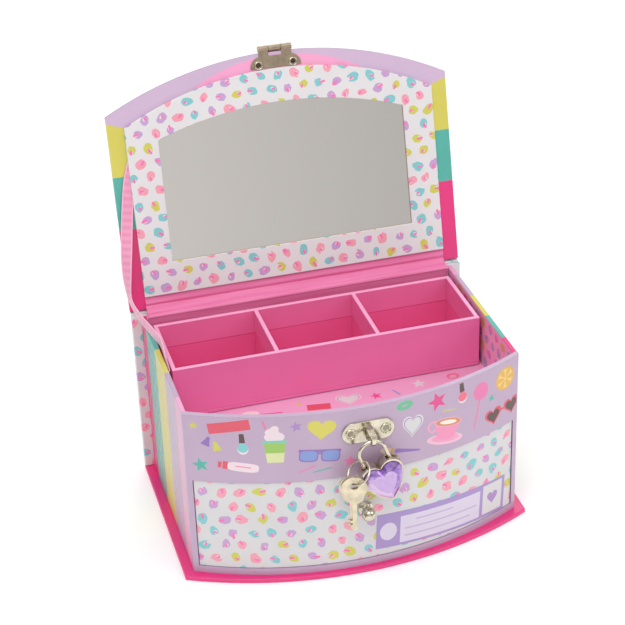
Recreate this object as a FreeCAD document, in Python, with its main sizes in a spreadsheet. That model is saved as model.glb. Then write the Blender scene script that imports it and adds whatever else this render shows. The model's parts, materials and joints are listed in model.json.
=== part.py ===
import FreeCAD, Part
import math
import os
import Sketcher

# A children's jewellery box of paper-covered greyboard, lid open at rest.
# Millimetres.  X runs across the box, -Y is the bowed front, Z is up and
# Z = 0 is the underside of the base board.

SIZES = [
    ("case_width", 170.0, "outside width of the case"),
    ("case_depth", 119.8, "case rear face to the middle of the bowed front"),
    ("case_bow", 22.2, "how far the front bows out between its corners"),
    ("case_top", 95.4, "height of the wall tops"),
    ("rear_face", 60.0, "Y of the case's rear face"),
    ("board", 2.5, "covered greyboard thickness"),
    ("back_board", 2.4, "thickness of the back board"),
    ("cover_width", 180.0, "width of base, back and lid boards"),
    ("cover_front", 122.6, "case rear face to the middle of the lid's and base's front edge"),
    ("cover_bow", 22.0, "bow of the lid's and base's front edge"),
    ("bottom_board", 3.0, "thickness of the case's bottom board"),
    ("floor_top", 65.0, "top of the compartment floor"),
    ("opening_width", 164.8, "drawer opening width"),
    ("opening_low", 6.1, "drawer opening sill height"),
    ("opening_high", 57.6, "drawer opening head height"),
    ("hinge_height", 96.1, "height of the lid's hinge line"),
    ("hinge_gap", 1.2, "hinge line to the lid board's rear edge"),
    ("lid_lift", 0.5, "closed lid's inner face above the hinge line"),
    ("lid_angle", 103.0, "how far the lid is open at rest"),
    ("lining_width", 163.0, "lid lining board width"),
    ("lining_start", 6.8, "lid's rear edge to the lining's rear edge"),
    ("lining_end", 115.6, "lid's rear edge to the middle of the lining's front edge"),
    ("lining_bow", 20.0, "bow of the lining's front edge"),
    ("lining_thick", 2.0, "lining board thickness"),
    ("window_width", 130.0, "mirror window width"),
    ("window_start", 23.7, "lid's rear edge to the window"),
    ("window_end", 98.4, "lid's rear edge to the middle of the window's front edge"),
    ("window_bow", 11.0, "bow of the window's front edge"),
    ("mirror_lap", 3.0, "how far the mirror reaches under the lining"),
    ("mirror_thick", 0.9, "mirror thickness"),
    ("rebate", 1.0, "depth of the rebate behind the lining"),
    ("tray_width", 161.0, "tray width"),
    ("tray_depth", 47.3, "tray depth"),
    ("tray_rear", 51.8, "Y of the tray's rear face"),
    ("tray_low", 65.5, "tray underside height"),
    ("tray_high", 93.8, "tray wall top height"),
    ("tray_wall", 2.2, "tray wall thickness"),
    ("tray_floor", 1.8, "tray floor thickness"),
    ("drawer_width", 163.8, "drawer width"),
    ("drawer_low", 6.5, "drawer underside height"),
    ("drawer_front_high", 57.2, "drawer front's top"),
    ("drawer_side_high", 54.0, "drawer side's top"),
    ("drawer_rear", 55.5, "Y of the drawer's rear face"),
    ("drawer_inset", 0.6, "drawer front's setback from the case front"),
    ("drawer_wall", 2.0, "drawer side thickness"),
    ("knob_side", -2.0, "X of the knob"),
    ("knob_height", 37.0, "Z of the knob"),
    ("knob_flange", 9.2, "knob flange diameter"),
    ("knob_neck", 4.2, "knob neck diameter"),
    ("knob_head", 7.2, "knob head diameter"),
    ("knob_reach", 9.4, "how far the knob stands out"),
    ("screw_shank", 2.9, "knob screw diameter"),
    ("screw_head", 6.0, "knob screw head diameter"),
    ("staple_height", 82.0, "Z of the staple plate's middle"),
    ("staple_length", 26.0, "staple plate length"),
    ("staple_width", 11.6, "staple plate height"),
    ("staple_rivets", 17.6, "distance between the staple's rivets"),
    ("staple_reach", 9.5, "how far the staple loop stands out of its plate"),
    ("staple_span", 9.0, "staple loop's outside height"),
    ("strap", 1.0, "staple loop strap thickness"),
    ("strap_width", 2.0, "staple loop strap width"),
    ("plate", 0.8, "staple plate and hasp flap thickness"),
    ("hasp_thick", 0.5, "hasp plate thickness"),
    ("hasp_length", 26.6, "hasp plate length across the lid"),
    ("hasp_corner", 5.5, "radius of the hasp plate's upper corners"),
    ("hasp_low", 115.9, "lid's rear edge to the hasp plate's lower edge"),
    ("hasp_high", 122.0, "lid's rear edge to the hasp plate's upper edge"),
    ("hasp_axis", 125.7, "lid's rear edge to the hasp's pin"),
    ("hasp_axis_lift", 0.7, "hasp's pin above the closed lid's inner face"),
    ("knuckle", 3.2, "hasp knuckle diameter"),
    ("knuckle_start", 3.4, "hasp's middle to the inner end of a plate knuckle"),
    ("knuckle_length", 5.2, "length of a plate knuckle"),
    ("flap_knuckle", 6.2, "length of the flap's knuckle"),
    ("hasp_pin", 1.4, "hasp pin diameter"),
    ("hasp_rivets", 18.2, "distance between the hasp's rivets"),
    ("hasp_rivet_line", 117.8, "lid's rear edge to the hasp's rivets"),
    ("flap_length", 24.0, "hasp flap length from its pin"),
    ("flap_width", 13.0, "hasp flap width"),
    ("flap_rest", 57.0, "flap's lean from the lid's outward normal at rest"),
    ("wire", 1.9, "shackle wire diameter"),
    ("shackle_bend", 6.5, "shackle bend radius to the wire's centre"),
    ("padlock_lean", 19.0, "padlock's lean on the staple"),
    ("heart_lobe", 5.7, "padlock heart's lobe radius"),
    ("heart_spread", 5.1, "padlock heart's lobe centre from its axis"),
    ("heart_side", 24.0, "radius of the padlock heart's bulging sides"),
    ("heart_lobe_drop", 11.5, "shackle bend centre down to the lobe centres"),
    ("heart_tip_drop", 28.4, "shackle bend centre down to the heart's tip"),
    ("padlock_thick", 6.0, "padlock case thickness"),
    ("pivot_drop", 8.5, "shackle bend centre down to the pivot pin"),
    ("leg_left", 9.0, "shackle's left leg length"),
    ("leg_right", 9.4, "shackle's right leg length"),
    ("leg_room", 0.35, "room round the shackle's legs in the case"),
    ("gem_recess", 1.0, "depth of the gem's seat in the case"),
    ("gem_seat", 0.92, "gem's seat as a share of the heart"),
    ("gem_table", 0.6, "gem's flat front as a share of the heart"),
    ("gem_reach", 2.6, "how far the gem stands out of the case"),
    ("ring_bend", 6.2, "key ring radius to the wire's centre"),
    ("ring_wire", 1.0, "key ring wire diameter"),
    ("ring_grip", 4.2, "shackle bend centre down to where the ring sits on its leg"),
    ("ring_tilt", 46.0, "lean of the ring's normal from upright"),
    ("ring_turn", 203.0, "heading of the ring's normal about Z"),
    ("ring_room", 2.1, "shackle wire's middle to the ring wire's middle at the grip"),
    ("key_front", 14.0, "front key's angle from the ring's lowest point"),
    ("key_rear", -1.5, "rear key's angle from the ring's lowest point"),
    ("key_turn", -15.0, "heading of the keys' flat sides about Z"),
    ("key_thick", 1.0, "key thickness"),
    ("key_length", 31.0, "key length"),
    ("key_bow", 12.6, "key bow width"),
    ("key_crown", 5.1, "key hole's middle to the bow's top"),
    ("key_shank", 2.3, "key shank width"),
    ("key_hole", 3.8, "key hole diameter"),
    ("ribbon_width", 6.0, "lid ribbon width"),
    ("ribbon_thick", 0.5, "lid ribbon thickness"),
]

doc = FreeCAD.newDocument("JewelleryBox")
sheet = doc.addObject("Spreadsheet::Sheet", "Sizes")
for row, (alias, size, note) in enumerate(SIZES, start=1):
    sheet.set("A%d" % row, note)
    sheet.set("B%d" % row, str(size))
    sheet.setAlias("B%d" % row, alias)
doc.recompute()

nodes = []


def size(alias):
    """A number from the sheet."""
    return float(sheet.get(alias))


def expression(text):
    """Turns words in <> into cells of the sheet."""
    return text.replace("<", "Sizes.").replace(">", "")


def bind(item, **formulas):
    """Binds properties to the sheet; x, y and z are the item's place."""
    for name, text in formulas.items():
        path = ".Placement.Base." + name if name in ("x", "y", "z") else name
        item.setExpression(path, expression(text))
    return item


def keep(item, label):
    """Marks a finished sub-part, one node of the assembly."""
    item.Label = label
    nodes.append(item)
    return item


def box(name, **formulas):
    return bind(doc.addObject("Part::Box", name), **formulas)


def cylinder(name, rotation=None, **formulas):
    item = doc.addObject("Part::Cylinder", name)
    if rotation:
        item.Placement.Rotation = rotation
    return bind(item, **formulas)


def common(name, first, second):
    item = doc.addObject("Part::Common", name)
    item.Base = first
    item.Tool = second
    return item


def cut(name, first, second):
    item = doc.addObject("Part::Cut", name)
    item.Base = first
    item.Tool = second
    return item


def fuse(name, pieces):
    item = doc.addObject("Part::MultiFuse", name)
    item.Shapes = pieces
    return item


def group(name, pieces):
    item = doc.addObject("Part::Compound", name)
    item.Links = pieces
    return item


ALONG_Y = FreeCAD.Rotation(FreeCAD.Vector(1, 0, 0), 90)
ALONG_X = FreeCAD.Rotation(FreeCAD.Vector(0, 1, 0), 90)

# Lengths that several sub-parts share, in words of the sheet.
CASE_RADIUS = "((<case_width>^2/4+<case_bow>^2)/(2*<case_bow>))"
COVER_RADIUS = "((<cover_width>^2/4+<cover_bow>^2)/(2*<cover_bow>))"
CASE_FRONT = "(<rear_face>-<case_depth>)"
CASE_CENTRE = "(" + CASE_FRONT + "+" + CASE_RADIUS + ")"
INNER_WIDTH = "(<case_width>-2*<board>)"
CLOSED_LID = "(<hinge_height>+<lid_lift>)"
LID_EDGE = "(<rear_face>+<back_board>-<hinge_gap>)"


def front_round(name, inset, low, height):
    """The case front's round outline, moved in, as a tall cylinder."""
    return cylinder(name, Radius=CASE_RADIUS + "-" + inset, Height=height, y=CASE_CENTRE, z=low)


def round_ended(label, width, rear, front, radius, low, height):
    """A flat board with a straight rear edge and a bowed front edge."""
    board = box(label + "_blank", Length=width, Width=rear + "-" + front + "+1", Height=height,
                x="-" + width + "/2", y=front + "-1", z=low)
    outline = cylinder(label + "_outline", Radius=radius, Height=height,
                       y=front + "+" + radius, z=low)
    return common(label + "_sheet", board, outline)


def inside_board(label, low, height):
    """A board that fills the case from wall to wall and up to the front panel."""
    blank = box(label + "_blank", Length=INNER_WIDTH, Width="<case_depth>-<board>", Height=height,
                x="-" + INNER_WIDTH + "/2", y=CASE_FRONT, z=low)
    return keep(common(label, blank, front_round(label + "_round", "<board>", low, height)), label)


# ---------------------------------------------------------------- the case

def make_covers():
    front = "(<rear_face>-<cover_front>)"
    base = round_ended("base", "<cover_width>", "(<rear_face>+<back_board>)", front,
                       COVER_RADIUS, "0", "<board>")
    keep(base, "base_board")
    keep(box("back", Length="<cover_width>", Width="<back_board>",
             Height="<case_top>+0.2-<board>", x="-<cover_width>/2", y="<rear_face>", z="<board>"),
         "back_board")


def make_walls():
    for side, label in ((-1, "left_wall"), (1, "right_wall")):
        place = "<case_width>/2-<board>" if side > 0 else "-<case_width>/2"
        blank = box(label + "_blank", Length="<board>", Width="<case_depth>",
                    Height="<case_top>-<board>", x=place, y=CASE_FRONT, z="<board>")
        limit = front_round(label + "_round", "<board>", "<board>", "<case_top>-<board>")
        keep(common(label, blank, limit), label)
    keep(box("rear", Length=INNER_WIDTH, Width="<board>", Height="<case_top>-<board>",
             x="-" + INNER_WIDTH + "/2", y="<rear_face>-<board>", z="<board>"), "rear_wall")
    inside_board("bottom_board", "<board>", "<bottom_board>")
    inside_board("compartment_floor", "<floor_top>-<board>", "<board>")


def make_front_panel():
    """The bowed front, with the drawer opening and the staple's holes."""
    height = "<case_top>-<board>"
    blank = box("front_blank", Length="<case_width>", Width="<case_bow>+2*<board>", Height=height,
                x="-<case_width>/2", y=CASE_FRONT, z="<board>")
    solid = common("front_solid", blank, front_round("front_outer", "0", "<board>", height))
    shell = cut("front_shell", solid, front_round("front_inner", "<board>", "<board>", height))
    opening = box("front_opening", Length="<opening_width>", Width="<case_bow>+3*<board>",
                  Height="<opening_high>-<opening_low>", x="-<opening_width>/2",
                  y=CASE_FRONT + "-<board>", z="<opening_low>")
    holes = [cylinder("front_hole_%s" % word, ALONG_Y, Radius="1.5", Height="4*<board>",
                      x=sign + "<staple_rivets>/2", y=CASE_FRONT + "+2*<board>",
                      z="<staple_height>")
             for word, sign in (("left", "-"), ("right", ""))]
    tools = fuse("front_tools", [opening] + holes)
    keep(cut("front", shell, tools), "front_panel")


# ---------------------------------------------------------------- the lid

def lid_placement():
    """Turns a piece drawn on the closed lid about the hinge line to its rest pose."""
    line = FreeCAD.Vector(0, size("rear_face") + size("back_board"), size("hinge_height"))
    turn = FreeCAD.Rotation(FreeCAD.Vector(1, 0, 0), -size("lid_angle"))
    return FreeCAD.Placement(FreeCAD.Vector(), turn, line)


def lid_point(across, along, outward):
    """A point of the open lid: along from its rear edge, outward from its inner face."""
    edge = size("rear_face") + size("back_board") - size("hinge_gap")
    inner = size("hinge_height") + size("lid_lift")
    return lid_placement().multVec(FreeCAD.Vector(across, edge - along, inner + outward))


def keep_on_lid(item, label):
    item.Placement = lid_placement()
    return keep(item, label)


def lid_window(name, grow, low, height):
    """The mirror window's outline, grown on every side."""
    width = "(<window_width>+2*" + grow + ")"
    radius = "((<window_width>^2/4+<window_bow>^2)/(2*<window_bow>))"
    rear = "(" + LID_EDGE + "-<window_start>+" + grow + ")"
    front = "(" + LID_EDGE + "-<window_end>-" + grow + ")"
    return round_ended(name, width, rear, front, radius, low, height)


def make_lid():
    front = "(<rear_face>-<cover_front>)"
    lid = round_ended("lid", "<cover_width>", LID_EDGE, front, COVER_RADIUS, CLOSED_LID, "<board>")
    holes = [cylinder("lid_hole_" + word, Radius="1.3", Height="<board>",
                      x=sign + "<hasp_rivets>/2", y=LID_EDGE + "-<hasp_rivet_line>", z=CLOSED_LID)
             for word, sign in (("left", "-"), ("right", ""))]
    keep_on_lid(cut("lid_drilled", lid, fuse("lid_tools", holes)), "lid_board")
    radius = "((<lining_width>^2/4+<lining_bow>^2)/(2*<lining_bow>))"
    low = CLOSED_LID + "-<lining_thick>"
    lining = round_ended("lining", "<lining_width>", "(" + LID_EDGE + "-<lining_start>)",
                         "(" + LID_EDGE + "-<lining_end>)", radius, low, "<lining_thick>")
    window = lid_window("window", "0", low, "<lining_thick>")
    rebate = lid_window("rebate", "(<mirror_lap>+0.3)", CLOSED_LID + "-<rebate>", "<rebate>")
    frame = cut("lining_frame", lining, fuse("lining_tools", [window, rebate]))
    keep_on_lid(frame, "lid_lining_board")
    mirror = lid_window("mirror_glass", "<mirror_lap>", CLOSED_LID + "-<mirror_thick>",
                        "<mirror_thick>")
    keep_on_lid(mirror, "mirror")


def strip(label, width, points):
    """A flat strip across the box: a closed outline in the YZ plane, drawn out along X."""
    corners = [FreeCAD.Vector(-width / 2.0, y, z) for y, z in points]
    face = Part.Face(Part.makePolygon(corners + corners[:1]))
    item = doc.addObject("Part::Feature", label + "_strip")
    item.Shape = face.extrude(FreeCAD.Vector(width, 0, 0))
    return keep(item, label)


def make_hinge_papers():
    """The printed cover outside the hinge line and the plain strip inside it."""
    outer_y = size("rear_face") + size("back_board")
    top = size("case_top")
    lap = 8.0
    paper = 0.4
    thick = size("board")
    near = lid_point(0, 0, thick + 0.2)
    far = lid_point(0, lap, thick + 0.2)
    near_out = lid_point(0, 0, thick + 0.2 + paper)
    far_out = lid_point(0, lap, thick + 0.2 + paper)
    strip("hinge_cover_paper", size("cover_width"), [
        (outer_y, top - lap), (outer_y, top - 0.4), (near.y, near.z), (far.y, far.z),
        (far_out.y, far_out.z), (near_out.y, near_out.z - 0.3),
        (outer_y + paper, top - 0.7), (outer_y + paper, top - lap)])
    inner_y = size("rear_face") - size("board")
    reach = size("lining_start") - 0.5
    low_out = lid_point(0, 0.2, -0.25)
    high_out = lid_point(0, reach, -0.25)
    low_in = lid_point(0, 0.2, -0.25 - paper)
    high_in = lid_point(0, reach, -0.25 - paper)
    strip("hinge_lining_strip", size("lining_width"), [
        (inner_y, top - lap), (inner_y, top + 0.05), (outer_y - 1.0, top + 0.35),
        (low_out.y, low_out.z), (high_out.y, high_out.z), (high_in.y, high_in.z),
        (low_in.y, low_in.z), (outer_y - 1.2, top + 0.35 + paper),
        (inner_y - paper, top + 0.05 + paper), (inner_y - paper, top - lap)])


def make_ribbon():
    """The slack ribbon from the lid's left margin to the left wall's inner face."""
    half = size("ribbon_width") / 2.0
    skin = size("ribbon_thick") / 2.0
    margin = -size("lining_width") / 2.0 - half
    gap = -size("case_width") / 2.0 + size("board") + 0.8
    level, upright = FreeCAD.Vector(1, 0, 0), FreeCAD.Vector(0, 0, 1)
    route = [
        (lid_point(margin - 0.6, 66.0, -0.7), level),
        (lid_point(margin - 1.8, 45.0, -1.6), level),
        (FreeCAD.Vector(-89.5, 64.0, 122.0), FreeCAD.Vector(0.7, -0.7, 0)),
        (FreeCAD.Vector(-90.0, 59.5, 107.5), FreeCAD.Vector(0.2, -0.9, 0.35)),
        (FreeCAD.Vector(-87.5, 48.0, 102.0), FreeCAD.Vector(0, -0.3, 0.95)),
        (FreeCAD.Vector(gap - 1.9, 34.0, 99.6), upright),
        (FreeCAD.Vector(gap, 24.0, 99.0), upright),
        (FreeCAD.Vector(gap, 14.0, 95.0), upright),
        (FreeCAD.Vector(gap, 5.5, 91.5), upright),
    ]
    sections = []
    for index, (point, across) in enumerate(route):
        before = route[max(index - 1, 0)][0]
        after = route[min(index + 1, len(route) - 1)][0]
        along = (after - before).normalize()
        side = (across - along * across.dot(along)).normalize()
        normal = along.cross(side)
        corners = [point + side * (a * half) + normal * (b * skin)
                   for a, b in ((-1, -1), (1, -1), (1, 1), (-1, 1))]
        sections.append(Part.makePolygon(corners + corners[:1]))
    item = doc.addObject("Part::Feature", "ribbon_band")
    item.Shape = Part.makeLoft(sections, True, True)
    keep(item, "lid_ribbon")


# ---------------------------------------------------------------- tray and drawer

def make_tray():
    """The lift-out tray: floor, four walls and two dividers."""
    side = "<tray_width>/2"
    low = "<tray_low>+<tray_floor>"
    tall = "<tray_high>-<tray_low>-<tray_floor>"
    front = "<tray_rear>-<tray_depth>"
    keep(box("floor_sheet", Length="<tray_width>", Width="<tray_depth>", Height="<tray_floor>",
             x="-" + side, y=front, z="<tray_low>"), "tray_floor")
    for label, y in (("tray_front", front), ("tray_back", "<tray_rear>-<tray_wall>")):
        keep(box(label + "_sheet", Length="<tray_width>", Width="<tray_wall>", Height=tall,
                 x="-" + side, y=y, z=low), label)
    pitch = "(<tray_width>-<tray_wall>)/3"
    labels = ("tray_left_end", "tray_left_divider", "tray_right_divider", "tray_right_end")
    for step, label in enumerate(labels):
        keep(box(label + "_sheet", Length="<tray_wall>", Width="<tray_depth>-2*<tray_wall>",
                 Height=tall, x="-%s+%d*%s" % (side, step, pitch), y=front + "+<tray_wall>", z=low),
             label)


def make_drawer():
    """The drawer: bowed front, two sides, back and bottom."""
    half = "<drawer_width>/2"
    tall = "<drawer_front_high>-<drawer_low>"
    face = "<drawer_inset>"
    back_of_front = "(<drawer_inset>+<board>)"
    blank = box("drawer_blank", Length="<drawer_width>", Width="<case_bow>+2*<board>", Height=tall,
                x="-" + half, y=CASE_FRONT, z="<drawer_low>")
    solid = common("drawer_solid", blank, front_round("drawer_outer", face, "<drawer_low>", tall))
    shell = cut("drawer_shell", solid,
                front_round("drawer_inner", back_of_front, "<drawer_low>", tall))
    hole = cylinder("drawer_hole", ALONG_Y, Radius="<screw_shank>/2+0.1", Height="4*<board>",
                    x="<knob_side>", y=CASE_FRONT + "+2*<board>", z="<knob_height>")
    keep(cut("drawer_face", shell, hole), "drawer_front")
    height = "<drawer_side_high>-<drawer_low>"
    for label, x in (("drawer_left_side", "-" + half), ("drawer_right_side", half + "-<drawer_wall>")):
        plank = box(label + "_blank", Length="<drawer_wall>", Width="<drawer_rear>-" + CASE_FRONT,
                    Height=height, x=x, y=CASE_FRONT, z="<drawer_low>")
        limit = front_round(label + "_round", back_of_front, "<drawer_low>", height)
        keep(common(label, plank, limit), label)
    inner = "(<drawer_width>-2*<drawer_wall>)"
    keep(box("drawer_rear_sheet", Length=inner, Width="<drawer_wall>", Height=height,
             x="-" + inner + "/2", y="<drawer_rear>-<drawer_wall>", z="<drawer_low>"), "drawer_back")
    sheet_blank = box("drawer_floor_blank", Length=inner,
                      Width="<drawer_rear>-<drawer_wall>-" + CASE_FRONT, Height="<drawer_wall>",
                      x="-" + inner + "/2", y=CASE_FRONT, z="<drawer_low>")
    limit = front_round("drawer_floor_round", back_of_front, "<drawer_low>", "<drawer_wall>")
    keep(common("drawer_floor", sheet_blank, limit), "drawer_bottom")


def new_body(label):
    return doc.addObject("PartDesign::Body", label + "_body")


def new_sketch(body, name, role):
    """A sketch on one of the body's own origin planes."""
    plane = [item for item in body.Origin.OriginFeatures if item.Role == role][0]
    sketch = body.newObject("Sketcher::SketchObject", name)
    sketch.AttachmentSupport = [(plane, "")]
    sketch.MapMode = "FlatFace"
    return sketch


def turned(label, points, formulas):
    """A round piece turned about Y from (radius, reach) points, each coordinate bound."""
    body = new_body(label)
    sketch = new_sketch(body, label + "_profile", "XY_Plane")
    corners = [FreeCAD.Vector(radius, reach, 0) for radius, reach in points]
    for index, corner in enumerate(corners):
        sketch.addGeometry(Part.LineSegment(corner, corners[(index + 1) % len(corners)]), False)
    for index in range(len(corners)):
        after = (index + 1) % len(corners)
        sketch.addConstraint(Sketcher.Constraint("Coincident", index, 2, after, 1))
    for index, (radius, reach) in enumerate(formulas):
        for axis, kind, text in ((0, "DistanceX", radius), (1, "DistanceY", reach)):
            value = (corners[index].x, corners[index].y)[axis]
            number = sketch.addConstraint(Sketcher.Constraint(kind, -1, 1, index, 1, value))
            sketch.setExpression("Constraints[%d]" % number, expression(text))
    turn = body.newObject("PartDesign::Revolution", label + "_turned")
    turn.Profile = sketch
    turn.ReferenceAxis = (sketch, ["V_Axis"])
    turn.Angle = 360.0
    return body


def make_knob():
    """The drawer knob, its reach along -Y, and the screw that holds it from inside."""
    reach = size("knob_reach")
    radii = [size(name) / 2.0 for name in ("knob_flange", "knob_neck", "knob_head", "screw_shank")]
    flange, neck, head, shank = radii
    bore = 5.0
    points = [(shank, 0.0), (flange, 0.0), (flange, -1.0), (neck, -1.6), (neck, -0.5 * reach),
              (head, -0.6 * reach), (head, -0.85 * reach), (0.7 * head, -reach), (0.0, -reach),
              (0.0, -bore), (shank, -bore)]
    words = [("<screw_shank>/2", "0"), ("<knob_flange>/2", "0"), ("<knob_flange>/2", "-1"),
             ("<knob_neck>/2", "-1.6"), ("<knob_neck>/2", "-<knob_reach>*0.5"),
             ("<knob_head>/2", "-<knob_reach>*0.6"), ("<knob_head>/2", "-<knob_reach>*0.85"),
             ("<knob_head>*0.35", "-<knob_reach>"), ("0", "-<knob_reach>"), ("0", "-5"),
             ("<screw_shank>/2", "-5")]
    knob = turned("knob", points, words)
    bind(knob, x="<knob_side>", y=CASE_FRONT + "+<drawer_inset>", z="<knob_height>")
    keep(knob, "drawer_knob")
    back = CASE_FRONT + "+<drawer_inset>+<board>+0.12"
    shank_rod = cylinder("screw_rod", ALONG_Y, Radius="<screw_shank>/2", Height="<board>+4",
                         x="<knob_side>", y=back, z="<knob_height>")
    head_disc = cylinder("screw_disc", ALONG_Y, Radius="<screw_head>/2", Height="1.6",
                         x="<knob_side>", y=back + "+1.6", z="<knob_height>")
    slot = box("screw_slot", Length="<screw_head>", Width="0.7", Height="0.9",
               x="<knob_side>-<screw_head>/2", y=back + "+0.9", z="<knob_height>-0.45")
    keep(cut("screw", fuse("screw_blank", [shank_rod, head_disc]), slot), "knob_screw")


# ---------------------------------------------------------------- staple and hasp

STAPLE_FACE = "(" + CASE_FRONT + "-<plate>)"
LOOP_CENTRE = "(" + STAPLE_FACE + "-<staple_reach>+<staple_span>/2)"


def make_staple():
    """The round-ended plate, its strap loop and the two dished rivets."""
    half = "(<staple_length>-<staple_width>)/2"
    pieces = [box("staple_middle", Length="<staple_length>-<staple_width>", Width="<plate>",
                  Height="<staple_width>", x="-" + half, y=STAPLE_FACE,
                  z="<staple_height>-<staple_width>/2")]
    for word, sign in (("left", "-"), ("right", "")):
        pieces.append(cylinder("staple_end_" + word, ALONG_Y, Radius="<staple_width>/2",
                               Height="<plate>", x=sign + half, y=CASE_FRONT,
                               z="<staple_height>"))
    tools = []
    for word, sign in (("left", "-"), ("right", "")):
        tools.append(cylinder("staple_hole_" + word, ALONG_Y, Radius="1.5", Height="4*<plate>",
                              x=sign + "<staple_rivets>/2", y=CASE_FRONT + "+<plate>",
                              z="<staple_height>"))
    for word, z in (("low", "<staple_height>-<staple_span>/2"),
                    ("high", "<staple_height>+<staple_span>/2-<strap>")):
        tools.append(box("staple_slot_" + word, Length="<strap_width>", Width="3*<plate>",
                         Height="<strap>", x="-<strap_width>/2", y=STAPLE_FACE + "-<plate>", z=z))
    keep(cut("staple", fuse("staple_blank", pieces), fuse("staple_tools", tools)), "staple_plate")
    solids = []
    for word, shrink in (("outer", "0"), ("inner", "<strap>")):
        radius = "(<staple_span>/2-" + shrink + ")"
        straight = box("loop_box_" + word, Length="<strap_width>",
                       Width=CASE_FRONT + "-" + LOOP_CENTRE, Height="2*" + radius,
                       x="-<strap_width>/2", y=LOOP_CENTRE, z="<staple_height>-" + radius)
        bend = cylinder("loop_bend_" + word, ALONG_X, Radius=radius, Height="<strap_width>",
                        x="-<strap_width>/2", y=LOOP_CENTRE, z="<staple_height>")
        solids.append(fuse("loop_" + word, [straight, bend]))
    keep(cut("loop", solids[0], solids[1]), "staple_loop")
    rivets = []
    for word, sign in (("left", "-"), ("right", "")):
        place = dict(x=sign + "<staple_rivets>/2", z="<staple_height>")
        shank = cylinder("rivet_shank_" + word, ALONG_Y, Radius="1.5",
                         Height="<plate>+<board>+1.1", y=CASE_FRONT + "+<board>+1.1", **place)
        head = cylinder("rivet_head_" + word, ALONG_Y, Radius="2.9", Height="0.6",
                        y=STAPLE_FACE, **place)
        dish = cylinder("rivet_dish_" + word, ALONG_Y, Radius="2.1", Height="1.2",
                        y=STAPLE_FACE + "-0.25", **place)
        clench = cylinder("rivet_clench_" + word, ALONG_Y, Radius="2.6", Height="0.5",
                          y=CASE_FRONT + "+<board>+1.1", **place)
        blank = fuse("rivet_blank_" + word, [shank, head, clench])
        rivets.append(cut("rivet_" + word, blank, dish))
    keep(group("rivet_pair", rivets), "staple_rivets")


HASP_Y = "(" + LID_EDGE + "-<hasp_axis>)"
HASP_Z = "(" + CLOSED_LID + "+<hasp_axis_lift>)"


def knuckle(name, start, length):
    return cylinder(name, ALONG_X, Radius="<knuckle>/2", Height=length, x=start, y=HASP_Y, z=HASP_Z)


def make_hasp():
    """The riveted plate on the lid, its pin and the flap with the staple's slot."""
    low = CLOSED_LID + "-<hasp_thick>"
    band = box("hasp_band", Length="<hasp_length>", Width="<hasp_high>-<hasp_low>",
               Height="<hasp_thick>", x="-<hasp_length>/2", y=LID_EDGE + "-<hasp_high>", z=low)
    corner = "(<hasp_length>/2-<hasp_corner>)"
    outline = [box("hasp_middle", Length="2*" + corner, Width="2*<hasp_corner>",
                   Height="<hasp_thick>", x="-" + corner, y=LID_EDGE + "-<hasp_high>", z=low)]
    for word, sign in (("left", "-"), ("right", "")):
        outline.append(cylinder("hasp_corner_" + word, Radius="<hasp_corner>", Height="<hasp_thick>",
                                x=sign + corner, y=LID_EDGE + "-<hasp_high>+<hasp_corner>", z=low))
    pieces = [common("hasp_flat", band, fuse("hasp_outline", outline))]
    bore = cylinder("hasp_bore", ALONG_X, Radius="<hasp_pin>/2", Height="30", x="-15",
                    y=HASP_Y, z=HASP_Z)
    tools = [bore]
    for word, sign, start in (("left", "-", "-<knuckle_start>-<knuckle_length>"),
                              ("right", "", "<knuckle_start>")):
        pieces.append(box("hasp_tab_" + word, Length="<knuckle_length>",
                          Width="<hasp_axis>-<hasp_low>-3", Height="<hasp_thick>", x=start,
                          y=HASP_Y, z=low))
        pieces.append(knuckle("hasp_knuckle_" + word, start, "<knuckle_length>"))
        tools.append(cylinder("hasp_hole_" + word, Radius="1.3", Height="4*<hasp_thick>",
                              x=sign + "<hasp_rivets>/2", y=LID_EDGE + "-<hasp_rivet_line>",
                              z=low + "-<hasp_thick>"))
    plate = cut("hasp", fuse("hasp_blank", pieces), fuse("hasp_tools", tools))
    keep_on_lid(plate, "hasp_plate")
    reach = "(<knuckle_start>+<knuckle_length>)"
    pin = cylinder("hasp_rod", ALONG_X, Radius="<hasp_pin>/2", Height="2*" + reach, x="-" + reach,
                   y=HASP_Y, z=HASP_Z)
    keep_on_lid(fuse("hasp_pin_rod", [pin, knuckle("hasp_pin_end", reach, "0.5")]), "hasp_pin")
    eyelets = []
    for word, sign in (("left", "-"), ("right", "")):
        place = dict(x=sign + "<hasp_rivets>/2", y=LID_EDGE + "-<hasp_rivet_line>")
        barrel = cylinder("eyelet_barrel_" + word, Radius="1.3", Height="<board>+<hasp_thick>+0.8",
                          z=low + "-0.4", **place)
        lip = cylinder("eyelet_lip_" + word, Radius="2.2", Height="0.4", z=low + "-0.4", **place)
        head = cylinder("eyelet_head_" + word, Radius="2.4", Height="0.4",
                        z=CLOSED_LID + "+<board>", **place)
        bore = cylinder("eyelet_bore_" + word, Radius="0.9", Height="<board>", z=low + "-0.4",
                        **place)
        blank = fuse("eyelet_blank_" + word, [barrel, lip, head])
        eyelets.append(cut("eyelet_" + word, blank, bore))
    keep_on_lid(group("eyelet_pair", eyelets), "hasp_rivets")
    make_flap()


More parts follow.
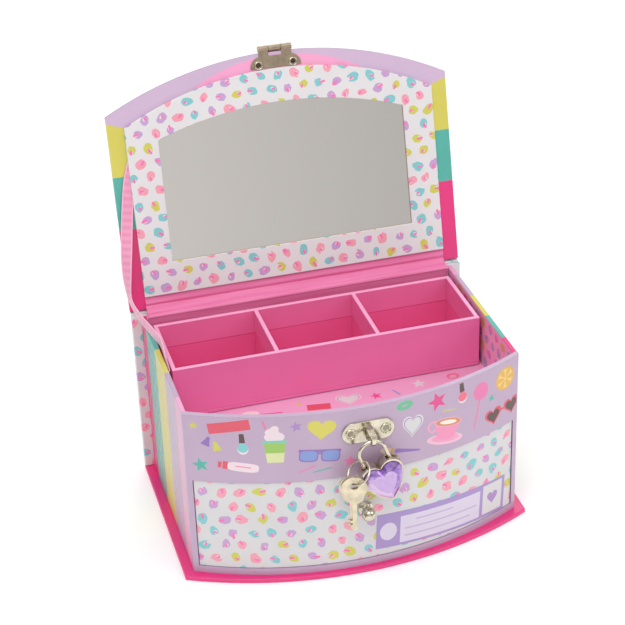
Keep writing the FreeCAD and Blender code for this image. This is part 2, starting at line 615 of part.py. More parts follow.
def make_flap():
    """Drawn hanging from the closed lid, then turned back over the lid."""
    near = HASP_Y + "+<knuckle>/2-<plate>"
    neck = box("flap_neck", Length="<flap_knuckle>", Width="<plate>", Height="3.5",
               x="-<flap_knuckle>/2",
               y=near, z=HASP_Z + "-3.5")
    blade = box("flap_blade", Length="<flap_width>", Width="<plate>",
                Height="<flap_length>-2.4-<flap_width>/2", x="-<flap_width>/2",
                y=near, z=HASP_Z + "-<flap_length>+<flap_width>/2")
    nose = cylinder("flap_nose", ALONG_Y, Radius="<flap_width>/2", Height="<plate>",
                    y=near + "+<plate>", z=HASP_Z + "-<flap_length>+<flap_width>/2")
    blank = fuse("flap_blank", [neck, blade, nose,
                                knuckle("flap_barrel", "-<flap_knuckle>/2", "<flap_knuckle>")])
    bore = cylinder("flap_bore", ALONG_X, Radius="<hasp_pin>/2+0.06", Height="10", x="-5",
                    y=HASP_Y, z=HASP_Z)
    slot_low = "(" + HASP_Z + "-<staple_height>+<staple_span>/2)"
    slot = box("flap_slot", Length="<strap_width>+1", Width="4*<plate>",
               Height="<staple_span>+1.4", x="-<strap_width>/2-0.5", y=near + "-<plate>",
               z=HASP_Z + "-" + slot_low + "-0.7")
    flap = cut("flap", blank, fuse("flap_tools", [bore, slot]))
    line = FreeCAD.Vector(0, size("rear_face") + size("back_board") - size("hinge_gap")
                          - size("hasp_axis"),
                          size("hinge_height") + size("lid_lift") + size("hasp_axis_lift"))
    turn = FreeCAD.Rotation(FreeCAD.Vector(1, 0, 0), -180.0 - size("flap_rest"))
    flap.Placement = lid_placement() * FreeCAD.Placement(FreeCAD.Vector(), turn, line)
    keep(flap, "hasp_flap")


# ---------------------------------------------------------------- padlock and keys

def padlock_pivot():
    """The middle of the shackle wire where it hangs in the staple's loop."""
    loop = (size("rear_face") - size("case_depth") - size("plate") - size("staple_reach")
            + size("staple_span") / 2.0)
    return FreeCAD.Vector(0, loop - 1.0, size("staple_height") - 2.0)


def padlock_placement():
    """The padlock's own frame: its origin at the shackle's bend centre, leaning."""
    base = padlock_pivot() - FreeCAD.Vector(0, 0, size("shackle_bend"))
    return FreeCAD.Placement(base, FreeCAD.Rotation(FreeCAD.Vector(0, 1, 0), -size("padlock_lean")))


def keep_on_padlock(item, label):
    item.Placement = padlock_placement()
    return keep(item, label)


def heart_wire(scale, depth):
    """A plump heart outline in the XZ plane, scaled about its middle."""
    lobe, spread, side = size("heart_lobe"), size("heart_spread"), size("heart_side")
    drop, tip = size("heart_lobe_drop"), size("heart_tip_drop")
    middle = -(drop + tip) / 2.0 + 1.5
    lobe_centre = FreeCAD.Vector(spread, 0, -drop)
    bottom = FreeCAD.Vector(0, 0, -tip)
    span = (lobe_centre - bottom).Length
    upward = (lobe_centre - bottom) / span
    share = (side ** 2 - (side - lobe) ** 2 + span ** 2) / (2 * span)
    inward = FreeCAD.Vector(-upward.z, 0, upward.x) * math.sqrt(side ** 2 - share ** 2)
    side_centre = bottom + upward * share + inward
    meeting = side_centre + (lobe_centre - side_centre) * (side / (side - lobe))
    belly = (meeting - side_centre) + (bottom - side_centre)
    belly = side_centre + belly * (side / belly.Length)
    notch = FreeCAD.Vector(0, 0, math.sqrt(lobe ** 2 - spread ** 2) - drop)
    start = math.atan2(notch.z + drop, -spread)
    end = math.atan2(meeting.z + drop, meeting.x - spread)
    angle = (start + end) / 2.0
    crest = lobe_centre + FreeCAD.Vector(lobe * math.cos(angle), 0, lobe * math.sin(angle))

    def arc(mirror, *points):
        placed = [FreeCAD.Vector(mirror * scale * point.x, depth, middle + scale * (point.z - middle))
                  for point in points]
        return Part.Arc(*placed).toShape()

    return Part.Wire([arc(1, notch, crest, meeting), arc(1, meeting, belly, bottom),
                      arc(-1, bottom, belly, meeting), arc(-1, meeting, crest, notch)])


def heart_block(name, scale, front, back):
    item = doc.addObject("Part::Feature", name)
    item.Shape = Part.Face(heart_wire(scale, front)).extrude(FreeCAD.Vector(0, back - front, 0))
    return item


def make_shackle():
    """The bent wire with its two legs; the right one is drilled for the pivot pin."""
    bend = doc.addObject("Part::Torus", "shackle_arc")
    bind(bend, Radius1="<shackle_bend>", Radius2="<wire>/2", Angle3="180")
    bend.Placement.Rotation = FreeCAD.Rotation(FreeCAD.Vector(1, 0, 0), 90)
    legs = [cylinder("shackle_leg_" + word, Radius="<wire>/2", Height=height,
                     x=sign + "<shackle_bend>", z="-" + height)
            for word, sign, height in (("left", "-", "<leg_left>"), ("right", "", "<leg_right>"))]
    bore = cylinder("shackle_bore", ALONG_Y, Radius="0.56", Height="4", x="<shackle_bend>",
                    y="2", z="-<pivot_drop>")
    keep_on_padlock(cut("shackle_bent", fuse("shackle_blank", [bend] + legs), bore), "shackle")


def make_padlock():
    """The heart-shaped case with its leg slots, the gem and the pivot pin."""
    half, recess, seat = size("padlock_thick") / 2.0, size("gem_recess"), size("gem_seat")
    case = heart_block("heart_case", 1.0, -half, half)
    tools = [heart_block("heart_recess", seat, -half, recess - half)]
    for word, length, height, start, low in (
            ("left", "<wire>+2*<leg_room>", "6", "-<shackle_bend>-<wire>/2-<leg_room>",
             "-<leg_left>-2*<leg_room>"),
            ("right", "8", "8", "<shackle_bend>-1.8", "-<leg_right>-0.9")):
        tools.append(box("leg_slot_" + word, Length=length, Width="<wire>+2*<leg_room>",
                         Height=height, x=start, y="-<wire>/2-<leg_room>", z=low))
    tools.append(cylinder("pin_hole", ALONG_Y, Radius="0.5", Height="<padlock_thick>-1.4",
                          x="<shackle_bend>", y="<padlock_thick>/2", z="-<pivot_drop>"))
    keep_on_padlock(cut("padlock_shell", case, fuse("padlock_tools", tools)), "padlock_case")
    pin = cylinder("pivot_rod", ALONG_Y, Radius="0.5", Height="<padlock_thick>-1.4",
                   x="<shackle_bend>", y="<padlock_thick>/2", z="-<pivot_drop>")
    keep_on_padlock(group("pivot_pin", [pin]), "padlock_pin")
    girdle = -half - 0.4
    table = -half - size("gem_reach")
    lower = Part.makeLoft([heart_wire(seat - 0.01, recess - half), heart_wire(seat - 0.01, girdle)],
                          True, True)
    crown = Part.makeLoft([heart_wire(seat - 0.01, girdle), heart_wire(size("gem_table"), table)],
                          True, True)
    gem = doc.addObject("Part::Feature", "heart_gem")
    gem.Shape = lower.fuse(crown).removeSplitter()
    keep_on_padlock(gem, "padlock_gem")


def ring_frame():
    """The ring's normal, its steepest way down and its level direction."""
    tilt, turn = math.radians(size("ring_tilt")), math.radians(size("ring_turn"))
    heading = FreeCAD.Vector(math.cos(turn), math.sin(turn), 0)
    normal = heading * math.sin(tilt) + FreeCAD.Vector(0, 0, math.cos(tilt))
    down = heading * math.cos(tilt) - FreeCAD.Vector(0, 0, math.sin(tilt))
    level = FreeCAD.Vector(-heading.y, heading.x, 0)
    return normal, down, level


def ring_grip():
    """The point of the left leg's middle that the ring hangs on."""
    return padlock_placement().multVec(FreeCAD.Vector(-size("shackle_bend"), 0, -size("ring_grip")))


def ring_centre():
    normal, down, level = ring_frame()
    return ring_grip() + down * (size("ring_bend") - size("ring_room"))


def key_pivot(label):
    """The middle of the ring's wire where a key hangs."""
    normal, down, level = ring_frame()
    angle, bend = math.radians(size(label)), size("ring_bend")
    return ring_centre() + down * (bend * math.cos(angle)) + level * (bend * math.sin(angle))


def make_key(label):
    """A flat key, drawn about its hole and hung on the ring."""
    bow = cylinder(label + "_bow", ALONG_Y, Radius="<key_bow>/2", Height="<key_thick>",
                   y="<key_thick>/2", z="<key_crown>-<key_bow>/2")
    chin = cylinder(label + "_chin", ALONG_Y, Radius="<key_bow>/2-1.6", Height="<key_thick>",
                    y="<key_thick>/2", z="<key_crown>-<key_bow>+1.8")
    end = "<key_crown>-<key_length>+<key_shank>/2"
    shank = box(label + "_shank", Length="<key_shank>", Width="<key_thick>",
                Height="<key_length>-<key_bow>", x="-<key_shank>/2", y="-<key_thick>/2", z=end)
    tip = cylinder(label + "_tip", ALONG_Y, Radius="<key_shank>/2", Height="<key_thick>",
                   y="<key_thick>/2", z=end)
    bits = [box(label + "_bit_%d" % step, Length="2", Width="<key_thick>", Height="1.3",
                x="-<key_shank>/2-1.2", y="-<key_thick>/2", z=end + "+%g" % (1.0 + 2.2 * step))
            for step in range(2)]
    blank = fuse(label + "_blank", [bow, chin, shank, tip] + bits)
    hole = cylinder(label + "_hole", ALONG_Y, Radius="<key_hole>/2", Height="4", y="2", z="0")
    key = cut(label + "_cut", blank, hole)
    drop = FreeCAD.Vector(0, 0, (size("ring_wire") - size("key_hole")) / 2.0 + 0.8)
    turn = FreeCAD.Rotation(FreeCAD.Vector(0, 0, 1), size("key_turn"))
    key.Placement = FreeCAD.Placement(key_pivot(label) + drop, turn)
    keep(key, label)


def make_keys():
    ring = doc.addObject("Part::Torus", "ring_wire_loop")
    bind(ring, Radius1="<ring_bend>", Radius2="<ring_wire>/2")
    turn = FreeCAD.Rotation(FreeCAD.Vector(0, 0, 1), ring_frame()[0])
    ring.Placement = FreeCAD.Placement(ring_centre(), turn)
    keep(ring, "key_ring")
    make_key("key_front")
    make_key("key_rear")


def check_and_export():
    doc.recompute()
    for item in doc.Objects:
        if "Invalid" in item.State or "Error" in item.State:
            raise RuntimeError(item.Label + " did not recompute")
    os.makedirs("parts", exist_ok=True)
    for item in nodes:
        if item.Shape.isNull() or not item.Shape.isValid():
            raise RuntimeError(item.Label + " has no valid shape")
        item.Shape.exportStep("parts/" + item.Label + ".step")


make_covers()
make_walls()
make_front_panel()
make_lid()
make_hinge_papers()
make_ribbon()
make_tray()
make_drawer()
make_knob()
make_staple()
make_hasp()
make_shackle()
make_padlock()
make_keys()
check_and_export()
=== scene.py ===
import json
import math
import random

import bmesh
import bpy
from mathutils import Matrix, Vector
from mathutils.geometry import delaunay_2d_cdt

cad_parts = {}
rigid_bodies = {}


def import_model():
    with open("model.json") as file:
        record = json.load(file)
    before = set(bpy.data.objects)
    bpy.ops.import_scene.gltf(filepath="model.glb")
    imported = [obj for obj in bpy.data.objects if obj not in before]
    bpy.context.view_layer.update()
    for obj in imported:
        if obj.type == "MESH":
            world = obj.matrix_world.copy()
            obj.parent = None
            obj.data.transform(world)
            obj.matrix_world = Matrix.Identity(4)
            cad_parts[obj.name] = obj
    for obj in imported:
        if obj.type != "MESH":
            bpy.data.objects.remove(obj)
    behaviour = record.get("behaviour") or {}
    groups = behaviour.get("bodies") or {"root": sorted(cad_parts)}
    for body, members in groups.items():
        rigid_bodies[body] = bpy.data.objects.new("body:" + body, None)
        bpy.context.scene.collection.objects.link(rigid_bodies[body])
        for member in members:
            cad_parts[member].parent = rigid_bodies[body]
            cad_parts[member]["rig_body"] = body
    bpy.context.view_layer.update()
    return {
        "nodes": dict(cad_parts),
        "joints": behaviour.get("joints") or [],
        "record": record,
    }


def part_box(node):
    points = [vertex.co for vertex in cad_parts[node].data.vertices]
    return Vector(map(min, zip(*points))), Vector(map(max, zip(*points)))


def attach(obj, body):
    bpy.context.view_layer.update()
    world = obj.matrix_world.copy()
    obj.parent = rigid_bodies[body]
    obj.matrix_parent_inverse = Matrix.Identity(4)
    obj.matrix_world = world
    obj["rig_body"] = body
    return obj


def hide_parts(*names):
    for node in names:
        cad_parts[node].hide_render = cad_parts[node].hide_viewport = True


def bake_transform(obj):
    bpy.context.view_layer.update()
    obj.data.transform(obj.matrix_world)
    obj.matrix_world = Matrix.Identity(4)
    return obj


# The looks of a children's jewellery box: printed, laminated paper over board,
# dull nickel hardware, a faceted gem and a satin ribbon.  Metres, with drawn
# motifs and patterns in millimetres.

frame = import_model()
NODES = frame["nodes"]
SLOTS = {part["node"]: part["material_slot"] for part in frame["record"]["subparts"]}
MM = 0.001
TAU = 2 * math.pi
random.seed(7)


# ---------------- places read from the frame

def reach(node, direction):
    """How far a node reaches along a direction: least and most."""
    values = [vertex.co.dot(direction) for vertex in NODES[node].data.vertices]
    return min(values), max(values)


def bow(node):
    """The centre's Y and the radius of a board's bowed front edge."""
    low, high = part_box(node)
    ends = [v.co.y for v in NODES[node].data.vertices if v.co.x > high.x - 0.01 * MM]
    sag = min(ends) - low.y
    radius = (high.x ** 2 + sag ** 2) / (2 * sag)
    return low.y + radius, radius


HINGE = next(joint for joint in frame["joints"] if joint["name"] == "lid_hinge")
LID_OPEN = math.radians(-HINGE["range_deg"][0])
ALONG = Vector((0, -math.cos(LID_OPEN), math.sin(LID_OPEN)))
OUT = Vector((0, math.sin(LID_OPEN), math.cos(LID_OPEN)))
LID_REAR, LID_FRONT = reach("lid_board", ALONG)
LID_INNER, LID_OUTER = reach("lid_board", OUT)
CASE_CENTRE, CASE_RADIUS = bow("front_panel")
DRAWER_RADIUS = CASE_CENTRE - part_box("drawer_front")[0].y
CASE_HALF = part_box("front_panel")[1].x
WALL_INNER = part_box("right_wall")[0].x


def lid_point(across, along, out):
    """A place on the open lid, from its rear edge and inner face."""
    return (Vector((across, 0, 0)) + ALONG * (LID_REAR + along) + OUT * (LID_INNER + out))


# ---------------- colours

def tone(red, green, blue):
    """A linear colour from screen values of 0 to 255."""
    parts = [value / 255 for value in (red, green, blue)]
    parts = [p / 12.92 if p <= 0.04045 else ((p + 0.055) / 1.055) ** 2.4 for p in parts]
    return (*parts, 1.0)


LILAC = tone(193, 169, 195)
LID_LILAC = tone(211, 184, 213)
MAGENTA = tone(232, 48, 128)
YELLOW = tone(217, 208, 92)
TEAL = tone(84, 180, 166)
PINK = tone(236, 170, 206)
HOT_PINK = tone(238, 120, 174)
PALE_PINK = tone(250, 168, 208)
WHITE = tone(219, 217, 218)
LINING_WHITE = tone(229, 227, 228)
SPOT_TEAL = tone(130, 204, 208)
SPOT_PINK = tone(244, 162, 178)
SPOT_LILAC = tone(200, 162, 210)
SPOT_OLIVE = tone(210, 208, 88)
ACCENT = tone(248, 120, 182)
RED = tone(226, 84, 104)
BROWN = tone(92, 66, 66)
CREAM = tone(240, 220, 226)
PURPLE = tone(146, 112, 186)
INK_LILAC = tone(172, 136, 196)
INK_BLUE = tone(134, 156, 214)
INK_GREEN = tone(110, 192, 150)
INK_PINK = tone(236, 124, 176)
INK_MAGENTA = tone(230, 74, 144)
INK_ORANGE = tone(230, 180, 78)
LIME = tone(158, 202, 96)


# ---------------- node materials

class Paint:
    """A node material being built; each method adds a node and gives its output."""

    def __init__(self, name):
        self.material = bpy.data.materials.new(name)
        self.material.use_nodes = True
        self.tree = self.material.node_tree
        self.shader = self.tree.nodes["Principled BSDF"]
        self.point = self.add("ShaderNodeTexCoord").outputs["Object"]

    def add(self, kind, **settings):
        node = self.tree.nodes.new(kind)
        for key, value in settings.items():
            setattr(node, key, value)
        return node

    def feed(self, socket, value):
        if isinstance(value, bpy.types.NodeSocket):
            self.tree.links.new(value, socket)
        else:
            socket.default_value = value

    def math(self, operation, *values, clamp=False):
        node = self.add("ShaderNodeMath", operation=operation, use_clamp=clamp)
        for socket, value in zip(node.inputs, values):
            self.feed(socket, value)
        return node.outputs[0]

    def along(self, direction, start=0.0):
        """How far the shaded point is along a direction, in metres."""
        node = self.add("ShaderNodeVectorMath", operation="DOT_PRODUCT")
        self.feed(node.inputs[0], self.point)
        node.inputs[1].default_value = direction
        return self.math("SUBTRACT", node.outputs["Value"], start)

    def join(self, x, y, z=0.0):
        node = self.add("ShaderNodeCombineXYZ")
        for socket, value in zip(node.inputs, (x, y, z)):
            self.feed(socket, value)
        return node.outputs[0]

    def split(self, vector):
        node = self.add("ShaderNodeSeparateXYZ")
        self.feed(node.inputs[0], vector)
        return node.outputs

    def mix(self, share, first, second):
        node = self.add("ShaderNodeMix", data_type="RGBA")
        for index, value in ((0, share), (6, first), (7, second)):
            self.feed(node.inputs[index], value)
        return node.outputs[2]

    def noise(self, scale, detail=2.0, vector=None):
        node = self.add("ShaderNodeTexNoise")
        self.feed(node.inputs["Vector"], vector or self.point)
        node.inputs["Scale"].default_value = scale
        node.inputs["Detail"].default_value = detail
        return node.outputs["Fac"]

    def between(self, value, low, high, start=0.0, end=1.0):
        """value from low to high becomes start to end."""
        node = self.add("ShaderNodeMapRange")
        for socket, number in zip(node.inputs, (value, low, high, start, end)):
            self.feed(socket, number)
        return node.outputs[0]

    def bands(self, value, colours, edges):
        """Sharp bands of colour, changing at each edge, in rising order."""
        low, high = edges[0] - 0.01, edges[-1] + 0.01
        ramp = self.add("ShaderNodeValToRGB")
        ramp.color_ramp.interpolation = "CONSTANT"
        stops = ramp.color_ramp.elements
        stops[0].position, stops[0].color = 0.0, colours[0]
        stops[1].position = (edges[0] - low) / (high - low)
        stops[1].color = colours[1]
        for edge, colour in zip(edges[1:], colours[2:]):
            stops.new((edge - low) / (high - low)).color = colour
        self.feed(ramp.inputs[0], self.between(value, low, high))
        return ramp.outputs[0]

    def plus(self, first, second):
        return self.math("ADD", first, second)

    def minus(self, first, second):
        return self.math("SUBTRACT", first, second)

    def times(self, first, second):
        return self.math("MULTIPLY", first, second)

    def absolute(self, value):
        return self.math("ABSOLUTE", value)

    def length(self, x, y):
        return self.math("SQRT", self.plus(self.times(x, x), self.times(y, y)))

    def inside(self, value, limit):
        return self.math("LESS_THAN", value, limit)

    def above(self, value, limit):
        return self.math("GREATER_THAN", value, limit)

    def either(self, first, second):
        return self.math("MAXIMUM", first, second)

    def bump(self, height, strength, distance, normal=None):
        node = self.add("ShaderNodeBump")
        node.inputs["Strength"].default_value = strength
        node.inputs["Distance"].default_value = distance
        self.feed(node.inputs["Height"], height)
        if normal:
            self.feed(node.inputs["Normal"], normal)
        return node.outputs[0]

    def set(self, **values):
        """Constant or linked inputs of the surface shader."""
        for name, value in values.items():
            self.feed(self.shader.inputs[name.replace("_", " ").title()], value)
        return self.material


def paper(paint, colour, rough=0.36, coat=0.3):
    """Laminated printed paper: faint mottling, board waviness and paper grain."""
    mottle = paint.noise(38.0, 4.0)
    shaded = paint.mix(0.05, colour, (0.0, 0.0, 0.0, 1.0))
    paint.set(base_color=paint.mix(paint.between(mottle, 0.3, 0.7), colour, shaded))
    paint.set(roughness=paint.between(paint.noise(320.0, 3.0), 0.3, 0.7, rough - 0.05, rough + 0.07))
    wave = paint.bump(paint.noise(16.0, 2.0), 0.25, 0.0016)
    grain = paint.bump(paint.noise(2600.0, 3.0), 0.10, 0.0001, wave)
    paint.set(normal=grain)
    paint.set(coat_weight=coat, coat_roughness=0.18)
    return paint.material


# One spot of the animal print fills one cell of a staggered grid, in millimetres.
SPOT_PITCH = (9.6, 7.9)
SPOT_DRIFT = 1.7
SPOT_SIZE = (3.0, 2.35)


def leopard(paint, across, up, ground, seed=0.0, grow=1.0, palette=None):
    """Scattered horseshoe spots, each with a hot pink stroke in its mouth."""
    palette = palette or (SPOT_TEAL, SPOT_PINK, SPOT_LILAC, SPOT_OLIVE)
    wide, tall = SPOT_PITCH[0] * grow, SPOT_PITCH[1] * grow
    y = paint.math("DIVIDE", up, tall * MM)
    row = paint.math("FLOOR", y)
    x = paint.plus(paint.math("DIVIDE", across, wide * MM), paint.times(row, 0.5))
    column = paint.math("FLOOR", x)
    draws = []
    for layer in (seed, seed + 31.0):
        white = paint.add("ShaderNodeTexWhiteNoise", noise_dimensions="3D")
        paint.feed(white.inputs["Vector"], paint.join(column, row, layer))
        draws += [*paint.split(white.outputs["Color"])]
    drift = SPOT_DRIFT * grow
    local_x = paint.times(paint.minus(paint.math("FRACT", x), 0.5), wide)
    local_y = paint.times(paint.minus(paint.math("FRACT", y), 0.5), tall)
    local_x = paint.plus(local_x, paint.times(paint.minus(draws[0], 0.5), drift))
    local_y = paint.plus(local_y, paint.times(paint.minus(draws[1], 0.5), drift))
    turn = paint.add("ShaderNodeVectorRotate", rotation_type="Z_AXIS")
    paint.feed(turn.inputs["Vector"], paint.join(local_x, local_y))
    paint.feed(turn.inputs["Angle"], paint.times(draws[2], TAU))
    spot_x, spot_y, _ = paint.split(turn.outputs[0])
    drawn = paint.join(across, up, seed * 0.01)
    wobble = paint.times(paint.minus(paint.noise(330.0, 1.0, drawn), 0.5), 0.9)

    def oval(middle_x, middle_y, half_x, half_y):
        one = paint.math("DIVIDE", paint.minus(spot_x, middle_x), half_x)
        two = paint.math("DIVIDE", paint.minus(spot_y, middle_y), half_y)
        return paint.plus(paint.length(one, two), wobble)

    size = paint.between(draws[3], 0.0, 1.0, 0.84, 1.12)
    body = paint.inside(oval(0.0, 0.0, SPOT_SIZE[0] * grow, SPOT_SIZE[1] * grow), size)
    open_mouth = paint.above(draws[4], 0.45)
    slit = paint.inside(paint.absolute(paint.minus(spot_y, 0.5 * grow)), 0.85 * grow)
    mouth = paint.times(slit, paint.above(spot_x, 0.5 * grow))
    mouth = paint.times(mouth, open_mouth)
    gape = paint.between(draws[5], 0.0, 1.0, -0.3, 1.05)
    eye = paint.inside(oval(0.6 * grow, 0.5 * grow, 1.2 * grow, 0.9 * grow), gape)
    start_x = 0.7 * grow
    reach_x = paint.between(draws[5], 0.0, 1.0, 2.1 * grow, 0.25 * grow)
    share = paint.math("DIVIDE", paint.minus(spot_x, start_x), reach_x, clamp=True)
    gap_x = paint.minus(spot_x, paint.plus(start_x, paint.times(share, reach_x)))
    gap_y = paint.minus(spot_y, paint.times(share, 0.5 * grow))
    ragged = paint.times(wobble, 0.6)
    stroke = paint.inside(paint.plus(paint.length(gap_x, gap_y), ragged), 0.74 * grow)
    choice = paint.add("ShaderNodeValToRGB")
    choice.color_ramp.interpolation = "CONSTANT"
    stops = choice.color_ramp.elements
    stops[0].color, stops[1].color = palette[0], palette[1]
    stops[1].position = 0.27
    for place, colour in zip((0.54, 0.77), palette[2:]):
        stops.new(place).color = colour
    pick = paint.add("ShaderNodeTexWhiteNoise", noise_dimensions="3D")
    paint.feed(pick.inputs["Vector"], paint.join(column, row, seed + 77.0))
    paint.feed(choice.inputs[0], pick.outputs["Value"])
    colour = paint.mix(body, ground, choice.outputs[0])
    colour = paint.mix(paint.times(paint.either(mouth, eye), body), colour, ground)
    return paint.mix(stroke, colour, ACCENT)


X, Y, Z = Vector((1, 0, 0)), Vector((0, 1, 0)), Vector((0, 0, 1))


def plain_paper(name, colour, rough=0.36, coat=0.3):
    return paper(Paint(name), colour, rough, coat)


def wall_paper(name, colours, edges):
    """Upright stripes outside and on the top edge, pink animal print inside."""
    paint = Paint(name)
    y = paint.along(Y)
    stripes = paint.bands(y, colours, edges)
    faded = leopard(paint, y, paint.along(Z), stripes, 11.0, 0.8,
                    (tone(206, 198, 188), tone(214, 176, 196), tone(190, 180, 204), tone(206, 196, 112)))
    outer = paint.above(paint.absolute(paint.along(X)), WALL_INNER + 2.3 * MM)
    stripes = paint.mix(paint.times(outer, 0.4), stripes, faded)
    spots = leopard(paint, y, paint.along(Z), tone(248, 176, 208), 5.0, 0.92,
                    (tone(150, 168, 206), tone(240, 116, 168), tone(200, 140, 200), tone(224, 178, 92)))
    inner = paint.inside(paint.absolute(paint.along(X)), WALL_INNER + 0.05 * MM)
    return paper(paint, paint.mix(inner, stripes, spots), 0.42, 0.22)


def make_walls_papers():
    right = wall_paper("stripes_right", (MAGENTA, TEAL, YELLOW, LILAC, PINK),
                       (-20.6 * MM, 2.3 * MM, 24.9 * MM, 48.4 * MM))
    left = wall_paper("stripes_left", (PINK, LILAC, YELLOW, TEAL, MAGENTA),
                      (-22.7 * MM, 1.2 * MM, 24.4 * MM, 47.1 * MM))
    return right, left


def front_paper():
    """Lilac outside and on the edges, pink on the inner face."""
    paint = Paint("front_lilac")
    x, y = paint.along(X), paint.along(Y, CASE_CENTRE)
    inner = paint.inside(paint.length(x, y), CASE_RADIUS - 2.45 * MM)
    return paper(paint, paint.mix(inner, LILAC, PINK))


def arc_length(paint, radius):
    """Distance round the bowed front, from the middle."""
    angle = paint.math("ARCTAN2", paint.along(X), paint.times(paint.along(Y, CASE_CENTRE), -1.0))
    return paint.times(angle, radius)


def drawer_paper():
    paint = Paint("drawer_leopard")
    colour = leopard(paint, arc_length(paint, DRAWER_RADIUS), paint.along(Z), WHITE, 2.0, 1.0)
    return paper(paint, colour, 0.42, 0.2)


def lining_paper():
    paint = Paint("lining_leopard")
    along = paint.along(ALONG, LID_REAR)
    colour = leopard(paint, paint.along(X), along, LINING_WHITE, 9.0, 0.92)
    depth = paint.above(paint.along(OUT, LID_INNER), -1.7 * MM)
    window = paint.inside(paint.absolute(paint.minus(along, 60.0 * MM)), 42.0 * MM)
    window = paint.times(window, paint.inside(paint.absolute(paint.along(X)), 66.0 * MM))
    colour = paint.mix(paint.times(depth, window), colour, tone(214, 198, 176))
    return paper(paint, colour, 0.40, 0.2)


def spine_paper():
    """White animal print that runs round the ends of the back board."""
    paint = Paint("spine_leopard")
    across = paint.plus(paint.along(X), paint.along(Y))
    return paper(paint, leopard(paint, across, paint.along(Z), WHITE, 4.0, 1.0), 0.36, 0.35)


def lid_paper():
    """The lid: rainbow bands outside, their turned-in ends round the lining inside."""
    paint = Paint("lid_rainbow")
    across = paint.absolute(paint.along(X))
    along = paint.along(ALONG, LID_REAR)
    out = paint.along(OUT, LID_INNER)
    margin = paint.bands(along, (MAGENTA, TEAL, YELLOW), (43.2 * MM, 70.8 * MM))
    mitre = paint.minus(along, paint.times(across, 0.36))
    margin = paint.mix(paint.above(mitre, 66.3 * MM), margin, LID_LILAC)
    patch_radius, patch_top = 89.0 * MM, 122.2 * MM
    drop = paint.minus(along, patch_top - patch_radius)
    patch = paint.inside(paint.length(drop, across), patch_radius)
    patch = paint.times(patch, paint.above(along, 100.0 * MM))
    patch = paint.times(patch, paint.inside(across, 50.0 * MM))
    margin = paint.mix(patch, margin, PALE_PINK)
    bend = paint.math("DIVIDE", paint.times(across, across), 1.06)
    arcs = paint.bands(paint.minus(along, bend), (MAGENTA, TEAL, YELLOW, LID_LILAC),
                       (35.4 * MM, 63.1 * MM, 91.2 * MM))
    outer = paint.above(out, (LID_OUTER - LID_INNER) * 0.5)
    return paper(paint, paint.mix(outer, margin, arcs), 0.34, 0.35)


def tray_paper():
    """Hot pink paper with paler top edges, partly the paper's own lighter colour and partly a painted
    highlight; the turned-in paper's seam inside, with darker pink below it.
    """
    paint = Paint("tray_pink")
    front_low, front_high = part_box("tray_front")
    depth, fold = paint.minus(front_high.z, paint.along(Z)), 13.4 * MM
    # Top faces turn pale pink: partly the paper's lighter colour, partly a painted highlight.
    edge = paint.inside(depth, 0.35 * MM)
    inner = paint.above(paint.along(Y), front_low.y + 0.6 * MM)
    below = paint.times(paint.above(depth, fold), inner)
    seam = paint.inside(paint.absolute(paint.minus(depth, fold)), 0.22 * MM)
    seam = paint.times(seam, inner)
    # Inner faces below the seam are mixed towards a darker pink.
    colour = paint.mix(paint.times(below, 0.55), HOT_PINK, tone(236, 88, 150))
    colour = paint.mix(paint.times(seam, 0.7), colour, tone(190, 40, 100))
    return paper(paint, paint.mix(edge, colour, PALE_PINK), 0.38, 0.3)


def printed_paper():
    """Takes its colour from the sheet's own drawn areas."""
    paint = Paint("printed_motifs")
    drawn = paint.add("ShaderNodeAttribute", attribute_name="print")
    return paper(paint, drawn.outputs["Color"], 0.36, 0.3)


def crease_paper():
    """Soft pink paper over the spine, with faint long creases; its colour is lighter on the raised creases
    and darker in their hollows, which is painted shade.
    """
    paint = Paint("creased_pink")
    stretched = paint.join(paint.times(paint.along(X), 0.05), paint.along(Y), paint.along(Z))
    folds = paint.noise(520.0, 2.0, stretched)
    # Painted shade: the crease height that drives the bump also makes the raised creases a lighter pink and
    # the hollows a darker pink.
    colour = paint.mix(paint.between(folds, 0.3, 0.7), tone(228, 112, 164), tone(238, 136, 182))
    paint.set(base_color=colour, roughness=paint.between(folds, 0.3, 0.7, 0.34, 0.46))
    paint.set(normal=paint.bump(folds, 0.25, 0.0004))
    return paint.material


def metal(name, colour, rough, scratch=0.06):
    """Nickel plate: faint brushing, smudges and small dents."""
    paint = Paint(name)
    smudge = paint.noise(240.0, 5.0)
    darker = tuple(part * 0.72 for part in colour[:3]) + (1.0,)
    paint.set(base_color=paint.mix(paint.between(smudge, 0.35, 0.7), colour, darker), metallic=1.0)
    paint.set(roughness=paint.between(paint.noise(900.0, 4.0), 0.3, 0.75, rough, rough + 0.14))
    paint.set(normal=paint.bump(paint.noise(700.0, 3.0), scratch, 0.0002))
    return paint.material


def mirror_material():
    """Silvered sheet with a trace of haze."""
    paint = Paint("mirror_silver")
    haze = paint.noise(9.0, 3.0)
    paint.set(base_color=paint.mix(haze, tone(226, 224, 222), tone(220, 218, 216)), metallic=1.0)
    paint.set(roughness=paint.between(haze, 0.3, 0.7, 0.03, 0.06))
    return paint.material


